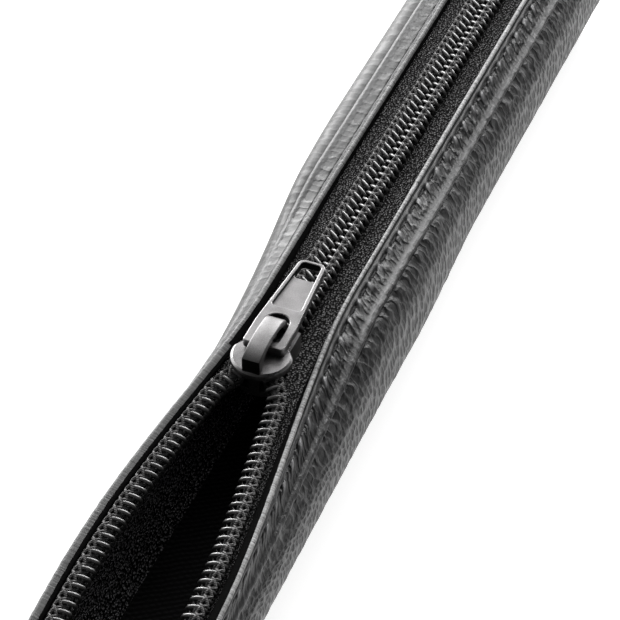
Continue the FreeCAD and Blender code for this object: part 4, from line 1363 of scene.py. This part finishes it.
# Steep walls inside the pull's outline get the near-black metal, a painted shade
pull.data.materials.append(shade_painted_metal)
for wall_face in pull.data.polygons:
    wall_face.material_index = int(in_recess(wall_face))
rub_and_highlight_rims(pull)
dress(pull, "pull", "slider", "pull_tab")

# %% [markdown]
# The stage is a white floor. It is white to the camera and to reflections by its own glow, so the lamps can
# stay at a plain level, and it still takes the shadow of the case. The glow that reflections see
# fades to the right and in front, which keeps the near side of the case dark, as in the photograph.

# %% Floor


def glow_mix(build, plain, mirrored, seen):
    """Strength for plain light, for what reflections see and for what the camera sees."""
    rays, strength = build.add("ShaderNodeLightPath").outputs, plain
    for ray, glow in (("Is Glossy Ray", mirrored), ("Is Transmission Ray", seen), ("Is Camera Ray", seen)):
        strength = build.add("ShaderNodeMix", None, i0=rays[ray], i2=strength, i3=glow).outputs[0]
    return strength


FLOOR_HALF, FLOOR_SEEN, FLOOR_GREY, FRONT_GREY = 1500.0, 0.82, 0.5, 0.02
FLOOR_DIM_AT, FLOOR_BRIGHT_AT, FLOOR_GLOW = -130.0, -25.0, 0.8
BESIDE_FROM, BESIDE_TO, BESIDE_GLOW = (-80.0, -40.0), (-14.0, -6.0), 0.03
FRONT_DARK_AT, FRONT_BRIGHT_AT = -170.0, -80.0
corner_signs = ((-1, -1), (1, -1), (1, 1), (-1, 1))
floor = new_piece("floor", [(x * FLOOR_HALF, y * FLOOR_HALF, 0) for x, y in corner_signs], [(0, 1, 2, 3)])
white = Finish("white_floor", Roughness=0.9, Specular_IOR_Level=0.0, Emission_Color=(1, 1, 1, 1))
floor_x, floor_y = white.axis(white.solid(), 0), white.axis(white.solid(), 1)
floor_glow = white.between(floor_y, FLOOR_DIM_AT, FLOOR_BRIGHT_AT, 0.0, FLOOR_GLOW)
beside = white.math("MULTIPLY", white.between(floor_y, *BESIDE_FROM, 0.0, BESIDE_GLOW),
                    white.between(floor_y, *BESIDE_TO, 1.0, 0.0))
in_front = white.between(floor_x, FRONT_DARK_AT, FRONT_BRIGHT_AT)
floor_glow = white.math("MULTIPLY", white.math("ADD", floor_glow, beside), in_front)
# To reflections the floor in front turns dark grey, a painted dark reflection
mirrored_ray = white.add("ShaderNodeLightPath").outputs["Is Glossy Ray"]
mirrored_front = white.math("MULTIPLY", mirrored_ray, white.math("SUBTRACT", 1.0, in_front))
white.colours(mirrored_front, [FLOOR_GREY] * 3, [FRONT_GREY] * 3)
white.feed(white.shader.inputs["Emission Strength"], glow_mix(white, 0.0, floor_glow, FLOOR_SEEN))
floor.data.materials.append(white.material)
print("floor: %.0f mm square" % (2 * FLOOR_HALF))

# %% [markdown]
# The room is white to the camera. Reflections see it dimmer overhead, in front and on the right. Three square
# lamps light the case: one behind it on the right, one at the far left and a weak one above.

# %% Room and lamps
ROOM_PLAIN, ROOM_WHITE, CEILING_DIM, FRONT_DIM, RIGHT_DIM = 0.3, 1.0, 0.3, 0.04, 0.08
# Axis of the room, where the shade starts and ends along it, and its brightness there
SHADES = ((2, 0.2, 0.75, ROOM_WHITE, CEILING_DIM), (0, -0.5, 0.15, FRONT_DIM, ROOM_WHITE),
          (1, -0.45, 0.05, RIGHT_DIM, ROOM_WHITE))
# Name, place from the slider, size and power
LAMPS = (("back_right", (620, -40, 290), 420, 3.6), ("far_left", (430, 430, 170), 420, 5.0),
         ("top_fill", (260, 100, 660), 460, 0.8))
world = bpy.data.worlds.new("studio")
world.use_nodes = True
room = Nodes(world.node_tree)
facing = room.add("ShaderNodeTexCoord").outputs["Generated"]
overhead, ahead_shade, right_shade = [room.between(room.axis(facing, axis), *span) for axis, *span in SHADES]
reflected = room.math("MULTIPLY", room.math("MULTIPLY", overhead, ahead_shade), right_shade)
sky = room.tree.nodes["Background"]
sky.inputs["Color"].default_value = (1, 1, 1, 1)
room.feed(sky.inputs["Strength"], glow_mix(room, ROOM_PLAIN, reflected, ROOM_WHITE))
bpy.context.scene.world = world

for lamp_name, place, size, power in LAMPS:
    light = bpy.data.lights.new(lamp_name, "AREA")
    light.size, light.energy = size * MM, power
    lamp = put(lamp_name, light)
    lamp.location = target + Vector(place) * MM
    lamp.rotation_euler = (-Vector(place)).to_track_quat("-Z", "Y").to_euler()
bpy.context.scene.view_settings.view_transform = "Standard"
print("room and %d lamps set" % len(LAMPS))
